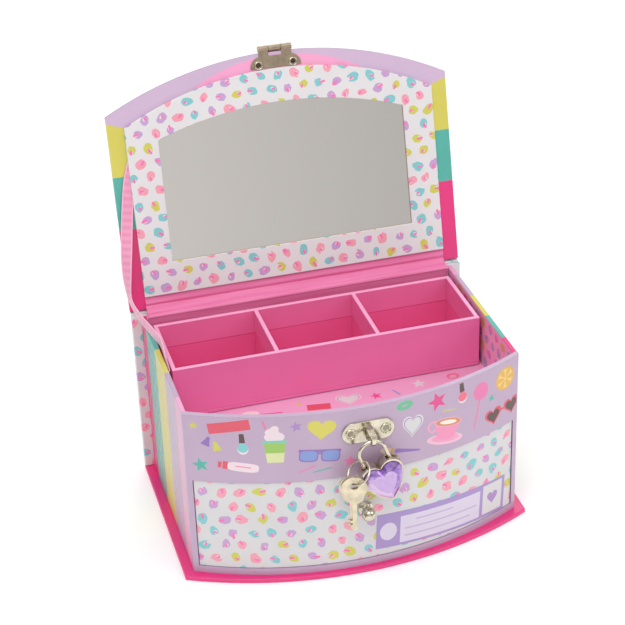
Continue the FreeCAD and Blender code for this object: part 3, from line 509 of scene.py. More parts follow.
def gem_material():
    """Moulded facets with a foiled back and deep purple sides; the flat front and the facets turned to the
    front, a little left and down, are painted pale lilac and less metallic, a painted reflection of the pale
    floor.
    """
    paint = Paint("gem_purple")
    # Painted reflection: facets turned towards this direction, which would mirror the pale floor, are mixed
    # towards pale lilac and made less metallic.
    reflection_facing = paint.add("ShaderNodeVectorMath", operation="DOT_PRODUCT")
    paint.feed(reflection_facing.inputs[0], paint.add("ShaderNodeNewGeometry").outputs["True Normal"])
    reflection_facing.inputs[1].default_value = (-0.25, -0.90, -0.36)
    share = paint.between(reflection_facing.outputs["Value"], 0.80, 0.97)
    depth = paint.noise(420.0, 2.0)
    deep = paint.mix(paint.between(depth, 0.35, 0.65), tone(142, 98, 186), tone(184, 146, 214))
    paint.set(base_color=paint.mix(share, deep, tone(220, 192, 230)))
    paint.set(metallic=paint.between(share, 0.0, 1.0, 0.6, 0.15))
    paint.set(roughness=paint.between(depth, 0.2, 0.8, 0.05, 0.12))
    paint.set(coat_weight=0.8, coat_roughness=0.03)
    return paint.material


def satin_material():
    """Woven satin: fine ribs across the ribbon, from its own length and width."""
    paint = Paint("ribbon_satin")
    place = paint.split(paint.add("ShaderNodeUVMap").outputs["UV"])
    ribs = paint.math("SINE", paint.times(place[0], 1700.0))
    threads = paint.math("SINE", paint.times(place[1], 130.0))
    weave = paint.plus(ribs, threads)
    colour = paint.mix(paint.between(weave, -2.0, 2.0), tone(236, 140, 180), tone(246, 176, 204))
    selvedge = paint.above(paint.absolute(paint.minus(place[1], 0.5)), 0.4)
    paint.set(base_color=paint.mix(selvedge, colour, tone(248, 188, 212)))
    paint.set(roughness=paint.between(weave, -2.0, 2.0, 0.3, 0.45))
    paint.set(normal=paint.bump(weave, 0.25, 0.0001))
    paint.set(sheen_weight=0.5, sheen_roughness=0.35)
    return paint.material


# ---------------- meshes

def put(name, data):
    """A new object in the scene."""
    thing = bpy.data.objects.new(name, data)
    bpy.context.scene.collection.objects.link(thing)
    return thing


def settle(name, mesh, material, weighted=True, sharp=40.0):
    """Turns a bmesh into a smooth-shaded object, not yet riding on a body."""
    data = bpy.data.meshes.new(name)
    mesh.normal_update()
    mesh.to_mesh(data)
    mesh.free()
    data.materials.append(material)
    data.shade_smooth()
    data.set_sharp_from_angle(angle=math.radians(sharp))
    piece = put(name, data)
    if weighted:
        normals = piece.modifiers.new("even_normals", "WEIGHTED_NORMAL")
        normals.keep_sharp = True
    return piece


def rounded(node, radius, material, steps=3, fold=25.0):
    """A copy of a CAD board with softly rounded edges, which stands for it."""
    source = NODES[node]
    mesh = bmesh.new()
    mesh.from_mesh(source.data)
    bmesh.ops.remove_doubles(mesh, verts=mesh.verts, dist=2e-6)
    bmesh.ops.dissolve_limit(mesh, angle_limit=math.radians(0.5), verts=mesh.verts, edges=mesh.edges)
    edges = [edge for edge in mesh.edges
             if edge.is_manifold and edge.calc_face_angle() > math.radians(fold)]
    bmesh.ops.bevel(mesh, geom=edges, offset=radius, segments=steps, profile=0.5,
                    affect="EDGES", clamp_overlap=True)
    piece = settle(node + "_covered", mesh, material)
    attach(piece, source["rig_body"])
    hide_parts(node)
    return piece


def finish_node(node, material):
    """A better material on a CAD node whose shape is right."""
    data = NODES[node].data
    data.materials.clear()
    data.materials.append(material)


# ---------------- printed motifs

def turned(points, centre, degrees):
    """Turns flat points about a centre."""
    c, s = math.cos(math.radians(degrees)), math.sin(math.radians(degrees))
    return [(centre[0] + (x - centre[0]) * c - (y - centre[1]) * s,
             centre[1] + (x - centre[0]) * s + (y - centre[1]) * c) for x, y in points]


def leaned(parts, x, y, lean):
    """Drawn parts turned together about a place."""
    return [(turned(points, (x, y), lean), ink) for points, ink in parts]


def ray(x, y, wide, tall, angle):
    """A flat point at an angle round a place."""
    return x + wide * math.cos(angle), y + tall * math.sin(angle)


def oval(x, y, wide, tall, lean=0.0, count=24):
    points = [ray(x, y, wide, tall, TAU * k / count) for k in range(count)]
    return turned(points, (x, y), lean)


def slab(x, y, wide, tall, lean=0.0, taper=1.0):
    """A rectangle of half sizes, its lower edge narrowed by taper."""
    foot = wide * taper
    points = [(x - foot, y - tall), (x + foot, y - tall), (x + wide, y + tall), (x - wide, y + tall)]
    return turned(points, (x, y), lean)


CUSHION_POWER = 0.55


def cushion(x, y, wide, tall, lean=0.0, count=28):
    """A soft-cornered rectangle of half sizes."""
    points = []
    for k in range(count):
        c, s = ray(0, 0, 1, 1, TAU * k / count)
        points.append((x + wide * math.copysign(abs(c) ** CUSHION_POWER, c),
                       y + tall * math.copysign(abs(s) ** CUSHION_POWER, s)))
    return turned(points, (x, y), lean)


def star(x, y, size, lean=0.0, waist=0.42, arms=5):
    points = []
    for k in range(2 * arms):
        radius = size if k % 2 == 0 else size * waist
        angle = math.radians(90) + TAU * k / (2 * arms)
        points.append(ray(x, y, radius, radius, angle))
    return turned(points, (x, y), lean)


def heart(x, y, wide, tall, lean=0.0, count=32):
    """A plump heart of half sizes."""
    points = []
    for k in range(count):
        angle = TAU * (k + 0.5) / count
        side = math.sin(angle) ** 3
        height = (13 * math.cos(angle) - 5 * math.cos(2 * angle) - 2 * math.cos(3 * angle)
                  - math.cos(4 * angle)) / 15.0
        points.append((x - wide * side, y + tall * (height + 0.12)))
    return turned(points, (x, y), lean)


def stroke(x1, y1, x2, y2, half, end=None):
    """A line with round ends; end is the half width at its far end."""
    end = half if end is None else end
    angle = math.atan2(y2 - y1, x2 - x1)
    points = [ray(x1, y1, half, half, angle + math.pi * (0.5 + k / 6)) for k in range(7)]
    return points + [ray(x2, y2, end, end, angle + math.pi * (k / 6 - 0.5)) for k in range(7)]


def nail_polish(x, y, colour, lean=0.0):
    """A round bottle with a tall cap."""
    parts = [(oval(x, y, 2.7, 3.1), CREAM), (oval(x, y + 0.5, 2.6, 2.5), colour),
             (slab(x, y + 3.1, 0.9, 0.7), colour), (slab(x, y + 6.0, 1.15, 2.6, 0, 1.25), BROWN)]
    return leaned(parts, x, y, lean)


def sundae(x, y):
    """A tapered cup with a whipped top and a straw."""
    dome = [oval(x, y + 9.0, 4.9, 3.0), oval(x - 1.0, y + 11.6, 3.4, 2.4), oval(x + 0.3, y + 13.6, 2.0, 1.7)]
    return ([(stroke(x - 2.5, y + 9, x - 5.2, y + 18.0, 0.5), INK_PINK)]
            + [(shape, CREAM) for shape in dome]
            + [(slab(x, y + 0.4, 5.2, 6.0, 0, 0.76), tone(222, 226, 168)),
               (slab(x, y + 3.1, 5.2, 3.2, 0, 0.87), LIME),
               (slab(x, y + 6.3, 5.9, 0.7), tone(126, 206, 184))])


def sunglasses(x, y, frame_ink, lens_ink, lean):
    parts = [(stroke(x - 9.6, y + 2.6, x + 9.6, y + 2.6, 0.8), frame_ink),
             (stroke(x - 2, y + 1.2, x + 2, y + 1.2, 0.5), frame_ink)]
    for side in (-1, 1):
        parts.append((cushion(x + side * 5.3, y - 0.2, 4.7, 3.5), frame_ink))
        parts.append((cushion(x + side * 5.3, y - 0.2, 4.0, 2.8), lens_ink))
    return leaned(parts, x, y, lean)


def heart_glasses(x, y, lean):
    parts = [(stroke(x - 2.6, y + 1.0, x + 2.6, y + 1.0, 0.6), RED)]
    for side in (-1, 1):
        parts.append((heart(x + side * 6.4, y - 0.3, 5.6, 5.2), RED))
        parts.append((heart(x + side * 6.4, y - 0.4, 4.2, 3.9), BROWN))
    return leaned(parts, x, y, lean)


def teacup(x, y, lean):
    """A cup of coffee on its saucer."""
    parts = [(oval(x, y - 7.2, 10.6, 3.1), tone(246, 190, 212)),
             (oval(x, y - 6.8, 8.2, 2.1), tone(240, 164, 196)),
             (oval(x - 8.6, y + 0.2, 3.0, 3.3), tone(244, 164, 196)),
             (oval(x - 8.6, y + 0.2, 1.9, 2.2), LILAC),
             (slab(x, y - 2.2, 7.9, 4.4, 0, 0.55), tone(244, 150, 188)),
             (oval(x, y - 4.8, 5.6, 2.8), tone(244, 150, 188)),
             (oval(x, y + 2.1, 8.1, 2.6), tone(240, 170, 196)),
             (oval(x, y + 2.1, 7.3, 2.1), tone(214, 146, 98)),
             (oval(x, y + 2.1, 4.9, 1.2), tone(248, 238, 222))]
    return leaned(parts, x, y, lean)


def outlined_heart(x, y, wide, tall, lean, line=INK_LILAC):
    return [(heart(x, y, wide, tall, lean), WHITE), (heart(x, y, wide * 0.86, tall * 0.86, lean), line),
            (heart(x, y, wide * 0.78, tall * 0.78, lean), WHITE)]


def tassel(x, y, colour, lean):
    parts = [(slab(x, y, 0.9, 2.0, 0, 2.6), colour), (oval(x, y + 2.4, 1.0, 1.0), colour)]
    return leaned(parts, x, y, lean)


def front_motifs():
    """The motifs of the front panel, from its middle round the bow and up from the base."""
    drawings = [
        (star(-83.6, 89.6, 2.4), SPOT_OLIVE),
        (slab(-66.4, 89.8, 10.2, 2.9, 9), RED),
        (oval(-74.4, 88.4, 0.5, 0.5), INK_MAGENTA),
        (oval(-58.6, 91.2, 0.5, 0.5), INK_MAGENTA),
        (star(-81.2, 67.3, 4.4, 12), TEAL),
        (cushion(-60.6, 66.9, 7.6, 2.6, -7), CREAM),
        (slab(-69.2, 68.0, 1.2, 2.2, -7), RED),
        (slab(-71.8, 68.3, 0.9, 1.7, -7), RED),
        (stroke(-64, 67.6, -57, 66.6, 0.3), INK_PINK),
        (star(-34.5, 89.2, 3.2, 10), INK_LILAC),
        (heart(-22.5, 86.0, 7.0, 5.9, -6), YELLOW),
        (stroke(-34.1, 63.2, -26.0, 66.3, 0.3), INK_PINK),
        (stroke(-27.2, 62.5, -18.3, 64.1, 0.3), TEAL),
        (star(-9.2, 66.2, 3.7, -8), INK_PINK),
        (oval(9.0, 68.3, 3.2, 1.8, -14), tone(240, 212, 200)),
        (slab(12.2, 67.5, 0.9, 1.3, -14), INK_ORANGE),
        (stroke(14.4, 66.9, 26.4, 64.1, 1.25, 0.5), PURPLE),
        (oval(18.8, 91.6, 4.3, 2.6, 6), INK_GREEN),
        (oval(18.8, 91.6, 1.5, 0.5, 6), LILAC),
        (star(36.5, 88.6, 5.6, 16), INK_MAGENTA),
        (stroke(39.5, 82.0, 47.3, 80.6, 0.3), SPOT_OLIVE),
        (stroke(61.9, 80.5, 58.6, 65.1, 0.45), INK_PINK),
        (oval(62.6, 84.9, 4.7, 5.0), INK_PINK),
        (star(69.7, 78.0, 2.3, 8), TEAL),
        (oval(79.0, 85.4, 6.5, 6.5), INK_ORANGE),
        (oval(79.0, 85.4, 5.3, 5.3), tone(244, 206, 120)),
    ]
    for arm in range(6):
        angle = TAU * arm / 6
        start, end = (ray(79.0, 85.4, away, away, angle) for away in (1.4, 4.0))
        drawings.append((stroke(*start, *end, 0.5, 1.4), INK_ORANGE))
    drawings += tassel(-77.6, 80.6, PURPLE, -24) + tassel(-72.8, 78.0, SPOT_OLIVE, 16)
    drawings += nail_polish(-60.2, 77.4, SPOT_TEAL, 3) + nail_polish(51.2, 85.6, tone(240, 112, 138), 6)
    drawings += sundae(-45.0, 75.0)
    drawings += sunglasses(-23.8, 71.8, PURPLE, INK_BLUE, -5)
    drawings += outlined_heart(23.0, 78.6, 5.6, 6.6, -4)
    drawings += teacup(42.4, 72.6, -12)
    drawings += heart_glasses(77.6, 67.4, 5)
    return drawings


def floor_motifs():
    """The same motifs scattered over the pink compartment floor."""
    deep = tone(232, 84, 150)
    drawings = [(star(-18.7, -1.2, 2.0), SPOT_OLIVE), (slab(-9.6, -7.2, 6.0, 2.7, -9), RED),
                (star(20.8, -6.6, 3.4, 8), deep), (star(45.0, -2.6, 4.2, -10), WHITE),
                (stroke(30.6, -4.6, 32.6, -9.0, 0.5), INK_BLUE),
                (oval(64.0, -1.2, 3.4, 2.8), tone(238, 124, 150)), (oval(64.0, -1.6, 1.9, 1.6), PINK),
                (oval(-44.0, -2.4, 4.6, 2.4, -8), CREAM), (stroke(-40.5, -4.4, -28.7, -6.1, 0.5), deep)]
    drawings += outlined_heart(6.6, -5.6, 6.8, 5.2, -8, INK_PINK)
    kinds = [lambda x, y, lean: [(star(x, y, 3.4, lean), WHITE)],
             lambda x, y, lean: [(star(x, y, 3.2, lean), deep)],
             lambda x, y, lean: [(heart(x, y, 4.2, 3.8, lean), INK_LILAC)],
             lambda x, y, lean: outlined_heart(x, y, 5.2, 4.8, lean, INK_PINK),
             lambda x, y, lean: [(oval(x, y, 3.6, 2.2, lean), SPOT_OLIVE)],
             lambda x, y, lean: [(stroke(x - 4, y, x + 4, y + 1, 0.4), TEAL)]]
    for row, depth in enumerate((-24.0, -38.0, 14.0, 29.0, 44.0)):
        for column in range(-4, 5):
            across = column * 17.0 + (row % 2) * 8.0
            if abs(across) > (74.0 if depth > -30 else 48.0):
                continue
            kind = random.choice(kinds)
            drawings += kind(across + random.uniform(-2, 2), depth + random.uniform(-2, 2),
                             random.uniform(-25, 25))
    return drawings


def printed_sheet(name, outline, drawings, ground, place, material, body, step=2.5):
    """A thin printed paper sheet. place gives a flat point's two faces in space."""
    points, faces, edges = [], [], []
    for polygon in [outline] + [shape for shape, ink in drawings]:
        start = len(points)
        points += [Vector(point) for point in polygon]
        faces.append(list(range(start, len(points))))
    low_x, high_x = min(p[0] for p in outline), max(p[0] for p in outline)
    low_y, high_y = min(p[1] for p in outline), max(p[1] for p in outline)
    for k in range(1, int((high_x - low_x) / step) + 1):
        x = low_x + k * step
        edges.append((len(points), len(points) + 1))
        points += [Vector((x, low_y - 1)), Vector((x, high_y + 1))]
    flat, _, triangles, *origins = delaunay_2d_cdt(points, edges, faces, 0, 1e-4)
    inks = [ground] + [ink for shape, ink in drawings]
    mesh = bmesh.new()
    layer = mesh.loops.layers.float_color.new("print")
    fronts, backs = {}, {}
    for triangle, sources in zip(triangles, origins[2]):
        if 0 not in sources:
            continue
        for vertex in triangle:
            if vertex not in fronts:
                front, back = place(*flat[vertex])
                fronts[vertex], backs[vertex] = mesh.verts.new(front), mesh.verts.new(back)
        for side, corners in ((fronts, triangle), (backs, triangle[::-1])):
            face = mesh.faces.new([side[vertex] for vertex in corners])
            for loop in face.loops:
                loop[layer] = inks[max(sources)]
    bare = [edge for edge in mesh.edges if edge.is_boundary]
    front_of = {vertex: key for key, vertex in fronts.items()}
    for edge in bare:
        if edge.verts[0] in front_of and edge.verts[1] in front_of:
            first, second = edge.verts
            a, b = front_of[first], front_of[second]
            rim = mesh.faces.new((second, first, backs[a], backs[b]))
            for loop in rim.loops:
                loop[layer] = ground
    bmesh.ops.recalc_face_normals(mesh, faces=mesh.faces)
    piece = settle(name, mesh, material, weighted=False)
    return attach(piece, body)


def on_bow(radius, front, back):
    """Places flat points, in millimetres, round the bowed front."""
    def place(x, z):
        angle = x * MM / radius
        faces = []
        for lift in (front, back):
            r = radius + lift
            faces.append((r * math.sin(angle), CASE_CENTRE - r * math.cos(angle), z * MM))
        return faces
    return place


def front_sheet(material):
    """The printed band above the drawer."""
    half = CASE_RADIUS / MM * math.asin(CASE_HALF / CASE_RADIUS) - 0.7
    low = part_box("drawer_front")[1].z / MM + 1.0
    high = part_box("front_panel")[1].z / MM - 0.6
    outline = [(-half, low), (half, low), (half, high), (-half, high)]
    return printed_sheet("front_print", outline, front_motifs(), LILAC,
                         on_bow(CASE_RADIUS, 0.05 * MM, -0.1 * MM), material, "box")


def floor_sheet(material):
    """The printed paper on the compartment floor."""
    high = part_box("compartment_floor")[1]
    centre, radius = CASE_CENTRE, CASE_RADIUS - 3.1 * MM
    half = high.x - 0.5 * MM
    outline = [(half / MM, high.y / MM - 3.2), (-half / MM, high.y / MM - 3.2)]
    for k in range(25):
        x = half * (k / 12 - 1)
        outline.append((x / MM, (centre - math.sqrt(radius ** 2 - x ** 2)) / MM))
    top = high.z

    def place(x, y):
        return (x * MM, y * MM, top + 0.12 * MM), (x * MM, y * MM, top - 0.05 * MM)

    return printed_sheet("floor_print", outline, floor_motifs(), PINK, place, material, "box",
                         step=20.0)


def drawer_label(material):
    """A blank adhesive label low on the drawer's right."""
    left, right, half, lean = 3.4, 80.4, 10.2, -2.9
    centre = ((left + right) / 2, 18.6)

    def tilt(points):
        return turned(points, centre, lean)

    wide = (right - left) / 2
    outline = tilt(slab(*centre, wide, half))
    ink, pale = tone(170, 146, 202), tone(222, 212, 230)
    x, y = centre
    field = tilt(slab(x - 2.2, y - 0.9, 23.6, half - 2.3))
    square = tilt(slab(x + 30.0, y + 0.1, 6.6, half - 1.6))
    disc = tilt(oval(left + 6.4, y - 0.6, 4.5, 5.2))
    drawings = [(field, pale), (square, WHITE), (disc, pale),
                (tilt(heart(x + 30.0, y, 3.6, 3.8)), INK_LILAC)]
    for row, (start, reach) in enumerate(((6.0, 21.0), (0.0, 42.0), (0.0, 38.0))):
        line = y + 3.6 - 4.3 * row
        drawings.append((tilt(stroke(x - 23.0 + start, line, x - 23.0 + start + reach, line, 0.42)),
                         tone(196, 178, 212)))
    return printed_sheet("drawer_label", outline, drawings, ink,
                         on_bow(DRAWER_RADIUS, 0.09 * MM, -0.05 * MM), material, "drawer")


# ---------------- ribbon and hinge papers

def smooth_path(points, steps):
    """Catmull-Rom points through a given route of vectors."""
    path = []
    for k in range(len(points) - 1):
        p0, p1 = points[max(k - 1, 0)], points[k]
        p2, p3 = points[k + 1], points[min(k + 2, len(points) - 1)]
        for step in range(steps):
            t = step / steps
            path.append(0.5 * (2 * p1 + (p2 - p0) * t + (2 * p0 - 5 * p1 + 4 * p2 - p3) * t * t
                               + (3 * p1 - p0 - 3 * p2 + p3) * t ** 3))
    path.append(points[-1])
    return path


def band(name, path, sides, half, thick, material, slot, cup=0.0, count=6):
    """A flat band along a path, each point with its own width direction."""
    mesh = bmesh.new()
    uv = mesh.loops.layers.uv.new("UVMap")
    rings, run = [], 0.0
    for index, point in enumerate(path):
        after, before = path[min(index + 1, len(path) - 1)], path[max(index - 1, 0)]
        along = (after - before).normalized()
        side = (sides[index] - along * sides[index].dot(along)).normalized()
        normal = along.cross(side)
        run += (point - before).length
        ring = []
        for face in (1, -1):
            for k in range(count + 1):
                share = face * (2 * k / count - 1)
                dip = cup * (1 - share * share)
                place = point + side * (share * half) + normal * (dip + face * thick / 2)
                ring.append((mesh.verts.new(place), run, (share + 1) / 2))
        rings.append(ring)
    loops = len(rings[0])
    for first, second in zip(rings, rings[1:]):
        for k in range(loops):
            corners = (first[k], first[(k + 1) % loops], second[(k + 1) % loops], second[k])
            face = mesh.faces.new([corner[0] for corner in corners])
            for loop, corner in zip(face.loops, corners):
                loop[uv].uv = corner[1:]
    for ring in (rings[0][::-1], rings[-1]):
        mesh.faces.new([corner[0] for corner in ring])
    bmesh.ops.recalc_face_normals(mesh, faces=mesh.faces)
    return settle(name, mesh, material, weighted=False, sharp=60.0)


def make_ribbon(material):
    """The stay ribbon: from under the lining to the left wall's inner face."""
    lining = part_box("lid_lining_board")[1].x
    margin = -lining - 3.0 * MM
    gap = -WALL_INNER + 0.8 * MM
    route = [
        (lid_point(margin + 6.5 * MM, 0.080, -0.7 * MM), X),
        (lid_point(margin + 2.4 * MM, 0.068, -0.7 * MM), X),
        (lid_point(margin - 1.4 * MM, 0.048, -1.5 * MM), X),
        (Vector((-0.0895, 0.064, 0.122)), Vector((0.7, -0.7, 0))),
        (Vector((-0.0900, 0.0595, 0.1075)), Vector((0.2, -0.9, 0.35))),
        (Vector((-0.0875, 0.048, 0.102)), Vector((0, -0.3, 0.95))),
        (Vector((gap - 1.9 * MM, 0.034, 0.0996)), Z),
        (Vector((gap, 0.024, 0.099)), Z),
        (Vector((gap, 0.014, 0.095)), Z),
        (Vector((gap, 0.0055, 0.0915)), Z),
    ]
    path = smooth_path([point for point, side in route], 12)
    sides = smooth_path([side for point, side in route], 12)
    ribbon = band("stay_ribbon", path, sides, 3.0 * MM, 0.3 * MM, material, SLOTS["lid_ribbon"], 0.15 * MM)
    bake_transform(ribbon)
    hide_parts("lid_ribbon")


def make_hinge_papers(material, outer_material):
    """The creased strip inside the spine and the covering paper outside it."""
    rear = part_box("rear_wall")
    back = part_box("back_board")
    inner_y, top, outer_y = rear[0].y, rear[1].z, back[1].y
    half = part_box("hinge_lining_strip")[1].x
    gap = 0.25 * MM
    on_case = ((-0.25, -8.0), (-0.25, -1.6), (-0.5, -0.1), (0.3, 1.0), (1.2, 1.3), (2.0, 0.8))
    on_lid = ((1.2, -0.45), (1.9, -0.2), (3.0, -0.8), (4.4, -0.7), (6.7, -0.3))
    route = [Vector((0, inner_y + back_by * MM, top + up * MM)) for back_by, up in on_case]
    route += [lid_point(0, along * MM, out * MM) for along, out in on_lid]
    strip = band("hinge_strip", *crosswise(route, 8), half, 0.3 * MM, material,
                 SLOTS["hinge_lining_strip"], 0.0, 24)
    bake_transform(strip)
    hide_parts("hinge_lining_strip")
    thick = LID_OUTER - LID_INNER
    route = [Vector((0, outer_y + gap, top - 0.008)), Vector((0, outer_y + gap, top - 0.8 * MM)),
             lid_point(0, -0.6 * MM, thick - 0.6 * MM), lid_point(0, 0.2 * MM, thick + gap),
             lid_point(0, 0.008, thick + gap)]
    cover = band("spine_cover", *crosswise(route, 8), back[1].x - 0.2 * MM, 0.3 * MM, outer_material,
                 SLOTS["hinge_cover_paper"], 0.0, 24)
    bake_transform(cover)
    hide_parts("hinge_cover_paper")


def crosswise(route, steps):
    """A smoothed route for a band whose width runs across the box."""
    path = smooth_path(route, steps)
    return path, [X.copy() for _ in path]


# ---------------- hardware

def turned_piece(name, profile, centre, axis, material, node, count=48):
    """A round piece from (radius, reach) points about an axis."""
    spin = Vector((0, 0, 1)).rotation_difference(axis).to_matrix()
    mesh = bmesh.new()
    rings = []
    for radius, height in profile:
        if radius < 1e-6:
            rings.append([mesh.verts.new(centre + spin @ Vector((0, 0, height)))])
            continue
        rings.append([mesh.verts.new(centre + spin @ Vector((radius * math.cos(TAU * k / count),
                                                             radius * math.sin(TAU * k / count), height)))
                      for k in range(count)])
    for low, high in zip(rings, rings[1:]):
        for k in range(count):
            after = (k + 1) % count
            corners = [low[k % len(low)], low[after % len(low)], high[after % len(high)], high[k % len(high)]]
            mesh.faces.new(list(dict.fromkeys(corners)))
    bmesh.ops.recalc_face_normals(mesh, faces=mesh.faces)
    piece = settle(name, mesh, material)
    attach(piece, NODES[node]["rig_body"])
    return piece


def make_knob(material):
    """A flanged post with a round head."""
    low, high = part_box("drawer_knob")
    centre = Vector(((low.x + high.x) / 2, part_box("drawer_front")[0].y, (low.z + high.z) / 2))
    reach = centre.y - low.y
    head = 3.6 * MM
    flange = ((0, -0.3), (3.7, -0.3), (3.9, 0.2), (3.7, 0.8), (2.9, 1.2), (2.2, 1.7), (2.0, 2.4))
    profile = [(radius * MM, height * MM) for radius, height in flange]
    profile.append((2.0 * MM, reach - 2.02 * head))
    for k in range(13):
        angle = math.radians(-58 + 148 * k / 12)
        profile.append((max(head * math.cos(angle), 0), reach - head + head * math.sin(angle)))
    profile[-1] = (0, reach)
    knob = turned_piece("round_knob", profile, centre, Vector((0, -1, 0)), material, "drawer_knob")
    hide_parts("drawer_knob")


def gem_outline():
    """The gem's girdle from its CAD face: corners and evenly spaced points."""
    points = [vertex.co.copy() for vertex in NODES["padlock_gem"].data.vertices]
    back_y = max(p.y for p in points)
    face_y = min(p.y for p in points)
    rim = {(round(p.x, 5), round(p.z, 5)): p for p in points if p.y > back_y - 0.05 * MM}
    middle = sum(rim.values(), Vector()) / len(rim)
    rim = sorted(rim.values(), key=lambda p: math.atan2(p.z - middle.z, p.x - middle.x))
    kept = []
    for before, here, after in zip(rim[-1:] + rim[:-1], rim, rim[1:] + rim[:1]):
        corner = (here - before).angle(after - here) > math.radians(28)
        if corner and kept and (here - kept[-1]).length < 1.0 * MM:
            kept.pop()
        if corner or not kept or (here - kept[-1]).length > 1.9 * MM:
            kept.append(here)
    if (kept[0] - kept[-1]).length < 1.0 * MM:
        kept.pop()
    return kept, back_y, face_y


def make_gem(material):
    """A faceted heart in the padlock's rim."""
    kept, back_y, face_y = gem_outline()
    middle = sum(kept, Vector()) / len(kept)
    count = len(kept)
    mesh = bmesh.new()
    girdle_y = back_y - 1.5 * MM

    def ring(scale, y, shift=0.0):
        made = []
        for k in range(count):
            p = kept[k].lerp(kept[(k + 1) % count], shift)
            made.append(mesh.verts.new((middle.x + (p.x - middle.x) * scale, y,
                                        middle.z + (p.z - middle.z) * scale)))
        return made

    back, girdle = ring(1.0, back_y), ring(1.0, girdle_y)
    crown = ring(0.82, girdle_y - 0.62 * (girdle_y - face_y), 0.5)
    table = ring(0.60, face_y)
    for k in range(count):
        n = (k + 1) % count
        mesh.faces.new((back[k], back[n], girdle[n], girdle[k]))
        mesh.faces.new((girdle[k], girdle[n], crown[k]))
        mesh.faces.new((girdle[n], crown[n], crown[k]))
        mesh.faces.new((crown[k], crown[n], table[n]))
        mesh.faces.new((crown[k], table[n], table[k]))
    mesh.faces.new(table)
    mesh.faces.new(back[::-1])
    bmesh.ops.recalc_face_normals(mesh, faces=mesh.faces)
    gem = settle("heart_gem", mesh, material, weighted=False, sharp=2.0)
    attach(gem, "padlock")
    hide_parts("padlock_gem")


def pressed_eyelets(node, axis, lip, bore, depth, material, dark):
    """A round-lipped eyelet with a dish in its middle at each rivet of a node, pointing along an axis; the
    bottom of the dish takes a darker metal, painted shade.
    """
    for word, sign in (("left", -1), ("right", 1)):
        points = [vertex.co for vertex in NODES[node].data.vertices if vertex.co.x * sign > 0]
        centre = Vector([(min(values) + max(values)) / 2 for values in zip(*points)])
        centre += axis * (max(point.dot(axis) for point in points) - centre.dot(axis) - 0.5 * MM)
        middle, half = (lip + bore) / 2, (lip - bore) / 2
        profile = [(0, -depth), (bore * 0.8, -depth), (bore, -depth * 0.6)]
        for k in range(9):
            angle = math.pi * (1 - k / 8)
            profile.append((middle + half * math.cos(angle), 0.55 * MM * math.sin(angle)))
        profile += [(lip, -0.2 * MM), (0, -0.2 * MM - depth)]
        piece = turned_piece(node + "_" + word, profile, centre, axis, material, node)
        piece.data.materials.append(dark)
        # Painted shade: faces deep in the dish near its middle take the darker second metal.
        for face in piece.data.polygons:
            face.material_index = int((face.center - centre).dot(axis) < -depth * 0.5
                                      and (face.center - centre).length < bore * 1.1)
        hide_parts(node)


# ---------------- the studio

def make_camera():
    camera = bpy.data.cameras.new("camera")
    camera.lens = 102.9
    camera.sensor_width = 36.0
    camera.clip_start, camera.clip_end = 0.05, 20.0
    eye = put("camera", camera)
    eye.location = (-0.20598, -0.73801, 0.55282)
    heading = Vector((0.22359, 0.83872, -0.49654)).normalized()
    right = heading.cross(Z).normalized()
    up = right.cross(heading)
    roll = math.radians(-2.08)
    right, up = (right * math.cos(roll) + up * math.sin(roll), up * math.cos(roll) - right * math.sin(roll))
    eye.rotation_mode = "QUATERNION"
    eye.rotation_quaternion = Matrix((right, up, -heading)).transposed().to_quaternion()
    bpy.context.scene.camera = eye


def soft_light(name, place, aim, size, power, colour=(1.0, 1.0, 1.0)):
    light = bpy.data.lights.new(name, "AREA")
    light.shape = "SQUARE"
    light.size = size
    light.energy = power
    light.color = colour
    lamp = put(name, light)
    lamp.location = place
    lamp.rotation_mode = "QUATERNION"
    lamp.rotation_quaternion = (Vector(aim) - Vector(place)).to_track_quat("-Z", "Y")


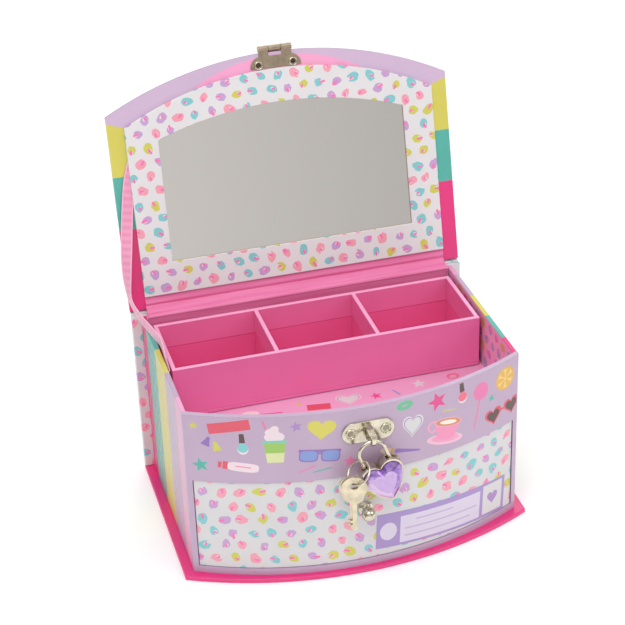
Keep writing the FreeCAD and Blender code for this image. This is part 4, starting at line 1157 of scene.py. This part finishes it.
def make_studio():
    """A pale floor, a pale surround that is greyer in front, and three soft lights."""
    mesh = bmesh.new()
    bmesh.ops.create_grid(mesh, x_segments=8, y_segments=8, size=1.25)
    data = bpy.data.meshes.new("floor")
    mesh.to_mesh(data)
    mesh.free()
    floor = put("floor", data)
    paint = Paint("floor_pale")
    speck = paint.noise(60.0, 3.0)
    paint.set(base_color=paint.mix(speck, tone(250, 250, 250), tone(246, 246, 247)))
    paint.set(roughness=paint.between(speck, 0.0, 1.0, 0.7, 0.8))
    paint.set(emission_color=(1.0, 1.0, 1.0, 1.0), emission_strength=0.12)
    data.materials.append(paint.material)
    world = bpy.data.worlds.new("surround")
    bpy.context.scene.world = world
    world.use_nodes = True
    nodes, links = world.node_tree.nodes, world.node_tree.links
    direction = nodes.new("ShaderNodeTexCoord")
    parts = nodes.new("ShaderNodeSeparateXYZ")
    links.new(direction.outputs["Generated"], parts.inputs[0])

    def blend(source, low, high, first, second):
        """Goes from one shade to another as a direction's part rises."""
        ramp = nodes.new("ShaderNodeMapRange")
        ramp.interpolation_type = "SMOOTHSTEP"
        ramp.inputs["From Min"].default_value = low
        ramp.inputs["From Max"].default_value = high
        links.new(source, ramp.inputs[0])
        mix = nodes.new("ShaderNodeMix")
        mix.data_type = "RGBA"
        links.new(ramp.outputs[0], mix.inputs[0])
        for index, value in ((6, first), (7, second)):
            if isinstance(value, bpy.types.NodeSocket):
                links.new(value, mix.inputs[index])
            else:
                mix.inputs[index].default_value = (*value, 1.0)
        return mix.outputs[2]

    around = blend(parts.outputs["Z"], 0.05, 0.75, (0.30, 0.30, 0.31), (1.15, 1.15, 1.15))
    before = blend(parts.outputs["X"], 0.10, 0.34, (1.12, 1.08, 1.05), (0.86, 0.83, 0.795))
    colour = blend(parts.outputs["Y"], -0.95, -0.86, before, around)
    background = nodes["Background"]
    background.inputs["Strength"].default_value = 0.70
    links.new(colour, background.inputs["Color"])
    middle = (0.0, 0.0, 0.1)
    soft_light("key", (-0.3, -0.55, 1.25), middle, 0.8, 6.6)
    soft_light("fill", (1.1, -0.7, 0.9), middle, 0.9, 3.4)
    soft_light("rear", (0.2, 1.1, 1.1), middle, 0.8, 3.8)
    bpy.context.scene.view_settings.view_transform = "Standard"


# ---------------- assembly

EDGE = 0.55 * MM
FINE = 0.22 * MM


def cover_the_box():
    right, left = make_walls_papers()
    magenta = plain_paper("base_magenta", MAGENTA, 0.34, 0.4)
    pink = plain_paper("inner_pink", PINK)
    tray = tray_paper()
    drawer_inside = plain_paper("drawer_pink", HOT_PINK)
    rounded("base_board", EDGE, magenta)
    rounded("back_board", EDGE, spine_paper())
    rounded("left_wall", EDGE, left)
    rounded("right_wall", EDGE, right)
    rounded("rear_wall", EDGE, pink)
    rounded("compartment_floor", 0.2 * MM, pink)
    rounded("bottom_board", 0.2 * MM, pink)
    rounded("front_panel", EDGE, front_paper())
    rounded("lid_board", EDGE, lid_paper())
    rounded("lid_lining_board", 0.35 * MM, lining_paper())
    for node in ("tray_floor", "tray_front", "tray_back", "tray_left_end", "tray_left_divider",
                 "tray_right_divider", "tray_right_end"):
        rounded(node, 0.4 * MM, tray)
    rounded("drawer_front", EDGE, drawer_paper())
    for node in ("drawer_left_side", "drawer_right_side", "drawer_back", "drawer_bottom"):
        rounded(node, 0.3 * MM, drawer_inside)
    motifs = printed_paper()
    front_sheet(motifs)
    floor_sheet(motifs)
    drawer_label(motifs)


def dress_the_hardware():
    dull = metal("nickel_dull", tone(186, 170, 146), 0.30)
    bright = metal("nickel_bright", tone(226, 218, 196), 0.14, 0.03)
    key = metal("nickel_key", tone(232, 220, 192), 0.34)
    # Darker metals for the bottoms of the eyelets' dishes: painted shade.
    shadow = metal("nickel_shadow", tone(96, 84, 70), 0.4)
    dish_shade = metal("nickel_dish_shade", tone(176, 166, 146), 0.3)
    rounded("staple_plate", 0.36 * MM, bright, 4, 35.0)
    for node in ("hasp_plate", "hasp_flap"):
        rounded(node, FINE, dull, 3, 35.0)
    pressed_eyelets("hasp_rivets", -OUT, 2.3 * MM, 1.5 * MM, 0.9 * MM, bright, shadow)
    pressed_eyelets("staple_rivets", -Y, 2.9 * MM, 2.2 * MM, 0.5 * MM, bright, dish_shade)
    for node in ("staple_loop", "padlock_case", "knob_screw", "hasp_pin"):
        rounded(node, FINE, bright, 3, 35.0)
    for node in ("key_front", "key_rear"):
        rounded(node, FINE, key, 3, 35.0)
    for node in ("shackle", "key_ring", "padlock_pin"):
        finish_node(node, bright)
    finish_node("mirror", mirror_material())
    make_knob(bright)
    make_gem(gem_material())


make_camera()
make_studio()
cover_the_box()
make_ribbon(satin_material())
make_hinge_papers(crease_paper(), spine_paper())
dress_the_hardware()
